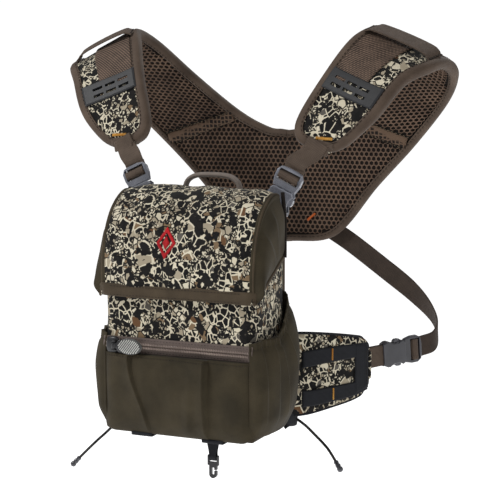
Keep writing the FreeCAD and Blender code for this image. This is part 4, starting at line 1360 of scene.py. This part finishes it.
def make_gussets(profile, normals):
    """The plain side gussets, bulging and softly folded, seamed to the hood and taped on the open edges."""
    top_count = 66
    steps = 30
    front = Vector((0, -88.6, 17.5))
    rear = Vector((0, -25.6, 50))
    for side, label in SIDES:
        outer = []
        inner = []
        for index in range(top_count):
            part = index / (top_count - 1)
            rim = profile[index] - normals[index] * 3.6
            foot = front.lerp(rear, smooth(part) * 0.6 + part * 0.4)
            row = []
            base = []
            for step in range(steps + 1):
                down = step / steps
                spot = rim.lerp(foot, down)
                bulge = 8.4 * math.sin(math.pi * min(down * 1.05, 1)) ** 0.7
                bulge *= smooth(part * 6 + 0.25) * (1 - 0.6 * part)
                flare = 1.8 * smooth(down * 3)
                folds = fold_height((part - 0.50 - 0.12 * down) * 95, 2.0, 8, 8, 6)
                folds += fold_height((part - 0.76 + 0.06 * down) * 95, 1.6, 7, 7, 5)
                soft = wrinkle((0, spot.y, spot.z), 18, 0.9)
                x = 71.4 + flare + bulge + (folds * 0.8 + soft) * smooth(down * 4) * smooth((1 - down) * 5)
                row.append(Vector((side * x, spot.y, spot.z)))
                base.append(Vector((side * 72.9, spot.y, spot.z)))
            outer.append(row)
            inner.append(base)
        gusset = shell(f"lid_gusset_cloth_{label}", outer, inner, BROWN, body="lid")
        if side == 1:
            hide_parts("lid_gussets")
        rim = [point - normals[index] * 3.4 + Vector((side * LID_HALF, 0, 0)) for index, point in
               enumerate(profile[:top_count + 2])]
        piping = sweep(f"lid_seam_{label}", path_frames(rim, RIGHT), ring_profile(1.0, 1.0, 10), LIP,
                       body="lid")
        lower = [row[-1] for row in outer]
        tape_low = sweep(f"gusset_edge_{label}", path_frames(lower, Vector((side, 0, 0))),
                         ring_profile(1.2, 1.9, 10), LIP, body="lid")
        back_edge = [Vector((side * 74.4, point.y + 0.3, point.z)) for point in
                     curve([profile[top_count], Vector((0, -25.8, 84)), Vector((0, -25.6, 66)), rear], 20)]
        tape_rear = sweep(f"gusset_rear_edge_{label}", path_frames(back_edge, Vector((side, 0, 0))),
                          ring_profile(1.9, 1.2, 10), DARK_BROWN, body="lid")


def make_lip():
    """The bound lip along the lid's front edge, with two rows of stitches."""
    section = [(-5.6, -1.2), (-5.2, -2.4), (-3, -3.0), (0, -2.7), (3, -3.0), (5.2, -2.4),
               (5.6, -1.2), (5.4, -0.2), (-5.4, -0.2)]
    points = []
    for step in range(81):
        x = lerp(-74.6, 74.6, step / 80)
        back = 5 * smooth((abs(x) - 67) / 8)
        points.append(Vector((x, -88.9 + back + wrinkle((x, 0, 3), 20, 0.5), 22.6 + 0.4 * math.sin(x / 17))))
    frames = [(point, UP, TOWARDS_WEARER) for point in points]
    lip = sweep("lid_lip_tape", frames, section, LIP, body="lid")
    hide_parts("lid_lip")
    for label, level in (("upper", 26.4), ("lower", 18.8)):
        line = curve([Vector((point.x, point.y - 3.0, level)) for point in points[7:-7]], 700)
        row = stitches(f"lip_stitches_{label}", line, [TO_FRONT] * 700, THREAD, 1.9, 1.2, 0.2, body="lid")


def make_emblem(outer, columns):
    """A plain diamond with a solid heart on the lid's front, in satin stitch."""
    half_rows = 34
    row_pitch = 0.42
    half_width = 9.5
    frame_width = 3.6
    heart_rows = 15
    rows = [row[columns // 2 - 5] for row in outer]
    centre_row = min(range(len(rows) // 2), key=lambda index: abs(rows[index].z - 66))
    centre = rows[centre_row]
    up = (rows[centre_row + 4] - rows[centre_row - 4]).normalized()
    normal = Vector((0, -up.z, up.y)).normalized()
    normal = normal if normal.y < 0 else -normal
    pieces = ([], [])
    for step in range(-half_rows, half_rows + 1):
        half = half_width * (1 - abs(step) / half_rows)
        hollow = max(half - frame_width, 0)
        solid = max(frame_width * (1 - abs(step) / heart_rows), 0)
        spans = [(-half, -hollow), (hollow, half)] if hollow > 0.3 else [(-half, half)]
        if solid > 0.4:
            spans.append((-solid, solid))
        base = centre + up * (step * row_pitch) + normal * 0.25
        for low, high in spans:
            if high - low > 0.7:
                add_stitch(pieces, base + RIGHT * low, base + RIGHT * high, normal, 0.27, 0.05)
    emblem = build("stitched_diamond", pieces[0], pieces[1], RED, body="lid")


# ---------------------------------------------------------------- back pad

def make_back_pad():
    """The chest-side pad: a crowned cushion with sewn channels under an open net."""
    columns = 60
    rows = 90
    half = 62
    low, high = -90, 92
    outer = []
    inner = []
    for row in range(rows + 1):
        z = lerp(low, high, row / rows)
        level = abs(2 * row / rows - 1)
        width = half - 12 * max(level - 0.86, 0) / 0.14 * (max(level - 0.86, 0) / 0.14)
        face = []
        base = []
        for column in range(columns + 1):
            across = lerp(-1, 1, column / columns)
            edge = (1 - abs(across) ** 8) * (1 - level ** 14)
            channel = math.exp(-((abs(across) - 0.42) / 0.05) ** 2) * (1 - level ** 6)
            depth = -6.2 + 5.2 * edge ** 0.5 - 1.7 * channel * edge
            face.append(Vector((across * width, depth, z)))
            base.append(Vector((across * width, -6.3, z)))
        outer.append(face)
        inner.append(base)
    pad = shell("back_pad", outer, inner, DARK_BROWN)
    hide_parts("back_mesh_pad")
    tree = BVHTree.FromPolygons([vertex.co / MM for vertex in pad.data.vertices],
                                [tuple(face.vertices) for face in pad.data.polygons])

    def drop(u, v, height):
        found = tree.ray_cast(Vector((u, 40, v)), TO_FRONT, 60)[0]
        return Vector((u, (found.y if found else -6) + height, v))

    cells = lattice(-half + 7, half - 7, low + 7, high - 7, lambda u, v: True)
    net = hexagon_cells("back_net", cells, drop, 1.0, 0.0)
    outline = []
    for step in range(160):
        turn = 2 * math.pi * step / 160
        x = math.copysign(abs(math.cos(turn)) ** 0.16, math.cos(turn)) * (half - 0.5)
        z = math.copysign(abs(math.sin(turn)) ** 0.14, math.sin(turn)) * (high - low - 2) / 2 + 1
        outline.append(Vector((x, -4.2, z)))
    frames = []
    for index, point in enumerate(outline):
        way = (outline[(index + 1) % 160] - outline[index - 1]).normalized()
        frames.append((point, way.cross(TOWARDS_WEARER), TOWARDS_WEARER))
    border = sweep("back_pad_binding", frames, ring_profile(4.4, 2.2, 14), BINDING, closed=True)


# ---------------------------------------------------------------- wings

WING_STATIONS = [Vector(station) for station in ((68, -8, -20), (84, 6, -21), (100, 25, -24), (113, 45, -28),
                                                 (122, 61.5, -32))]
WING_LOW = [-95, -94, -90, -86, -80]
WING_TURN = 3.35
WING_CORNER = 0.65


def wing_point(side, place, down, height):
    """A point of the wing: down runs from its top edge to its bottom edge, height is off its middle."""
    top = spline(WING_STATIONS, place)
    low = spline([Vector((0, 0, value)) for value in WING_LOW], place).z
    way = spline(WING_STATIONS, min(place + 0.1, 4)) - spline(WING_STATIONS, max(place - 0.1, 0))
    normal = Vector((way.y, -way.x, 0)).normalized()
    point = Vector((top.x, top.y, lerp(top.z, low, down))) + normal * height
    return Vector((point.x * side, point.y, point.z))


def wing_normal(side, place):
    return (wing_point(side, place, 0.5, 1) - wing_point(side, place, 0.5, 0)).normalized()


def make_wings():
    """The padded wings with their edge binding, bands, bartacks, tip tape and a row of stitches on the end band.
    """
    rows = 60
    columns = 36
    for side, label in SIDES:
        outer = []
        inner = []
        for row in range(rows + 1):
            place = 4 * row / rows
            corner = max(place - WING_TURN, 0) / WING_CORNER
            cut = 0.17 * (1 - math.sqrt(max(1 - corner ** 2, 0)))
            front = []
            back = []
            for column in range(columns + 1):
                part = column / columns
                down = lerp(cut, 1 - cut, part)
                edge = max(1 - abs(2 * part - 1) ** 7, 0) * (1 - corner ** 6 * 0.9)
                thick = 0.7 + 2.3 * edge ** 0.5
                soft = wrinkle(wing_point(1, place, down, 0), 17, 0.6) * edge
                front.append(wing_point(side, place, down, thick + soft))
                back.append(wing_point(side, place, down, -thick))
            outer.append(front)
            inner.append(back)
        wing = shell(f"wing_pad_{label}", outer, inner, CAMO, slots=[BROWN], pick=lambda row, column: (0, 1))
        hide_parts(f"wing_{label}")
        rim = [wing_point(side, 4 * step / 60, 0.0, 0) for step in range(51)]
        for step in range(21):
            turn = math.pi * step / 20
            place = WING_TURN + WING_CORNER * math.sin(turn)
            rim.append(wing_point(side, place, 0.5 - 0.5 * math.cos(turn), 0))
        rim += [wing_point(side, 4 * step / 60, 1.0, 0) for step in range(50, -1, -1)]
        edge = sweep(f"wing_binding_{label}", path_frames(rim, wing_normal(side, 2)),
                     ring_profile(1.9, 1.3, 10), BLACK_WEB)
        make_wing_webbing(side, label)


def wing_band(name, side, corners, height, thick, material, ribs=0, steps=30):
    """Tape on the wing's face between four corners given as (place, down)."""
    (a, b, c, d) = corners
    columns = max(ribs * 2, 8)
    outer = []
    inner = []
    for step in range(steps + 1):
        part = step / steps
        top = []
        base = []
        for column in range(columns + 1):
            across = column / columns
            place = lerp(lerp(a[0], b[0], part), lerp(d[0], c[0], part), across)
            down = lerp(lerp(a[1], b[1], part), lerp(d[1], c[1], part), across)
            ridge = 0.12 if ribs and column % 2 else 0.0
            rim = 0.4 * thick if column in (0, columns) or step in (0, steps) else 0.0
            top.append(wing_point(side, place, down, height + thick + ridge - rim))
            base.append(wing_point(side, place, down, height))
        outer.append(top)
        inner.append(base)
    return shell(name, outer, inner, material)


def make_wing_webbing(side, label):
    """Two webbing bands joined by a third near the tip, held down by bartacks."""
    bands = [wing_band(f"{kind}_band_{label}", side, corners, height, 1.4, BLACK_WEB, ribs=8)
             for kind, height, corners in (
                 ("upper", 3.0, ((0.7, 0.22), (3.75, 0.08), (3.75, 0.30), (0.7, 0.42))),
                 ("lower", 3.0, ((0.7, 0.70), (3.75, 0.72), (3.75, 0.94), (0.7, 0.90))),
                 ("end", 3.3, ((2.95, 0.12), (2.95, 0.9), (3.78, 0.9), (3.78, 0.12))))]
    web = join(f"wing_webbing_{label}", bands)
    if side == 1:
        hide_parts("wing_webbing")
    for row, (place, down) in enumerate(((1.9, 0.265), (1.95, 0.81))):
        tack = bartack(f"wing_bartack_{row}_{label}", wing_point(side, place, down, 4.5), (0, 0, 1),
                       wing_normal(side, place), 10.5, 1.8, GOLD)
    corners = ((3.86, 0.24), (3.86, 0.78), (4.06, 0.76), (4.06, 0.26))
    tab = wing_band(f"wing_tip_tab_{label}", side, corners, 2.2, 1.6, CAMO)
    points = [wing_point(side, 3.6, lerp(0.16, 0.86, step / 160), 5.0) for step in range(161)]
    row = fine_stitches(f"end_band_stitches_{label}", points, [wing_normal(side, 3.6)] * 161)


# ---------------------------------------------------------------- loops, tether and cords

def make_grab_loop():
    """The tubular webbing loop, a little flattened, and the feet that hold it to the back panel."""
    half = [(27, 101.7), (27, 106), (24.5, 113), (18, 117.4), (8, 119)]
    points = [(-x, -13.9, z) for x, z in half] + [(x, -13.9, z) for x, z in reversed(half)]
    loop = sweep("grab_loop_webbing", path_frames(curve(points, 90), TOWARDS_WEARER),
                 ring_profile(3.6, 2.3, 22), LOOP, body="grab_loop")
    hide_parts("grab_loop")
    feet = []
    for side in (1, -1):
        line = curve([(27 * side, -13.9, 98.5), (27 * side, -13, 94), (27 * side, -11.6, 84)], 20)
        feet.append(sweep(f"loop_foot_{side}", path_frames(line, RIGHT), ring_profile(3.9, 1.7, 18), WEB))
    foot = join("loop_feet_webbing", feet)
    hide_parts("loop_feet")


def make_tether():
    """The black tether: webbing that narrows to its fold round the hook's bar and is sewn back on itself."""
    route = [(0, -14, -101), (0, -14.2, -110), (0, -13.6, -124), (0, -12.6, -133), (0, -11.6, -137.4),
             (0, -12.4, -140.4), (0, -14.6, -141), (0, -16.3, -138.4), (0, -16, -133), (0, -15.6, -124),
             (0, -15.4, -112)]
    frames = []
    for point, across, up in path_frames(curve(route, 90), RIGHT):
        narrow = lerp(0.6, 1, smooth((point.z + 137) / 14))
        frames.append((point, across * narrow, up))
    strap = sweep("tether_webbing", frames, tape_profile(11.4, 1.2, 5), BLACK_WEB, body="tether")
    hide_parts("tether_strap")
    tack = bartack("tether_bartack", (0, -16.2, -118), (1, 0, 0), (0, -1, 0), 9, 2.4, THREAD, body="tether")


CORD_RADIUS = 1.25
CORD_ROUTES = {
    "right": [(77.7, -4.3, -97.5), (86, -7, -100.5), (97, -12, -107), (109, -19, -113), (117, -24, -118),
              (124.5, -29.5, -125)],
    "left": [(-77.7, -4.3, -97.5), (-85, -8, -101), (-95, -13, -110), (-105.5, -18, -122.5),
             (-119, -26, -136), (-130.5, -31.5, -149)],
}


def make_cords():
    """The elastic cords, each a smooth curve, with a ridged moulded end."""
    for label, route in CORD_ROUTES.items():
        data = bpy.data.curves.new(f"elastic_cord_{label}", "CURVE")
        data.dimensions = "3D"
        line = data.splines.new("NURBS")
        line.points.add(len(route) - 1)
        for point, place in zip(line.points, route):
            point.co = (*(Vector(place) * MM), 1)
        line.order_u = 3
        line.use_endpoint_u = True
        line.resolution_u = 12
        data.bevel_depth = CORD_RADIUS * MM
        data.bevel_resolution = 4
        data.use_fill_caps = True
        data.materials.append(CORD)
        cord = bpy.data.objects.new(f"elastic_cord_{label}", data)
        bpy.context.scene.collection.objects.link(cord)
        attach(cord, ROOT)
        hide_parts(f"cord_{label}")
        tip = make_cord_tip(label, Vector(route[-1]), Vector(route[-1]) - Vector(route[-2]))
        tuple(Vector(route[0]) * MM)


def make_cord_tip(label, end, way):
    """The moulded end, which grows a little towards its tip and has two grooves round it."""
    way = way.normalized()
    side = way.cross(UP).normalized()
    up = side.cross(way)
    radii = [1.6, 2.2, 2.2, 1.9, 1.9, 2.4, 2.4, 2.1, 2.1, 2.6, 2.7, 2.6, 2.2, 0.6]
    frames = [(end + way * lerp(-0.6, 11, step / (len(radii) - 1)), side * radius, up * radius)
              for step, radius in enumerate(radii)]
    tip = sweep(f"cord_tip_{label}", frames, ring_profile(1, 1, 18), SLATE)
    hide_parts(f"cord_end_{label}")
    return tip


# ---------------------------------------------------------------- moulded parts that the frame already shapes

def finish_moulded():
    """Materials and softened edges for the buckles, the hook and the magnets."""
    for name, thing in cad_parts.items():
        if name.startswith("shoulder_buckle"):
            dress(thing, GREY, 0.35)
        elif name.startswith("side_buckle"):
            dress(thing, SLATE, 0.35)
        elif name == "tether_hook":
            dress(thing, BLACK, 0.4)
        elif name.endswith("magnets"):
            dress(thing, STEEL, 0.2)


def dress(thing, material, radius):
    for slot in thing.material_slots:
        slot.material = material
    bevel = thing.modifiers.new("soft_edges", "BEVEL")
    bevel.width = radius * MM
    bevel.segments = 2
    bevel.limit_method = "ANGLE"
    bevel.angle_limit = math.radians(38)


# ---------------------------------------------------------------- stage

CAMERA_PLACE = (0.54045, -1.15408, 0.20631)
CAMERA_AIM = (-0.40131, 0.90781, -0.12178)
CAMERA_LENS = 102.24
PACK_MIDDLE = (0, 0, 0.05)


def make_stage():
    """A pale floor well below the hanging pack, soft lights and the camera."""
    paper = Nodes("pale_paper", 0.95, specular=0.0)
    tone = paper.ramp(paper.noise(180), [(0.3, (0.86, 0.86, 0.86)), (0.7, (0.9, 0.9, 0.9))])
    paper.put(paper.shader.inputs["Emission Color"], (0.9, 0.9, 0.9, 1))
    paper.put(paper.shader.inputs["Emission Strength"], 0.88)
    reach = 20000
    level = -420
    floor = build("studio_floor", [(-reach, -reach, level), (reach, -reach, level), (reach, reach, level),
                                   (-reach, reach, level)], [(0, 1, 2, 3)], paper.finish(tone), body=None)
    world = bpy.data.worlds.new("studio")
    world.use_nodes = True
    nodes = world.node_tree.nodes
    background = nodes["Background"]
    background.inputs["Color"].default_value = (1, 1, 1, 1)
    strength = nodes.new("ShaderNodeMath")
    strength.operation = "MULTIPLY_ADD"
    strength.inputs[1].default_value = 0.75
    strength.inputs[2].default_value = 0.3
    world.node_tree.links.new(nodes.new("ShaderNodeLightPath").outputs["Is Camera Ray"], strength.inputs[0])
    world.node_tree.links.new(strength.outputs[0], background.inputs["Strength"])
    bpy.context.scene.world = world
    for name, place, size, power in (("key", (-0.9, -0.9, 1.3), 0.4, 21), ("fill", (1.3, -0.8, 0.5), 1.1, 4),
                                     ("rim", (0.3, 1.3, 1.1), 0.9, 8)):
        light = bpy.data.lights.new(name, "AREA")
        light.size = size
        light.energy = power
        lamp = bpy.data.objects.new(name, light)
        lamp.location = place
        lamp.rotation_euler = (Vector(PACK_MIDDLE) - Vector(place)).to_track_quat("-Z", "Y").to_euler()
        bpy.context.scene.collection.objects.link(lamp)
    camera_data = bpy.data.cameras.new("camera")
    camera_data.lens = CAMERA_LENS
    camera_data.sensor_width = 36
    camera = bpy.data.objects.new("camera", camera_data)
    camera.location = CAMERA_PLACE
    camera.rotation_euler = Vector(CAMERA_AIM).to_track_quat("-Z", "Y").to_euler()
    bpy.context.scene.collection.objects.link(camera)
    bpy.context.scene.camera = camera
    bpy.context.scene.view_settings.view_transform = "Standard"


make_stage()
make_cords()
finish_moulded()
harness = make_pad()
make_binding()
make_arm_nets()
make_yoke_net(harness)
make_arm_seams()
make_pad_trim()
make_wraps()
make_shoulder_straps()
make_side_straps()
make_walls()
make_boards()
make_runners()
make_corner_tabs()
make_front_pocket()
make_side_pockets()
make_zipper()
make_lid()
make_back_pad()
make_wings()
make_grab_loop()
make_tether()
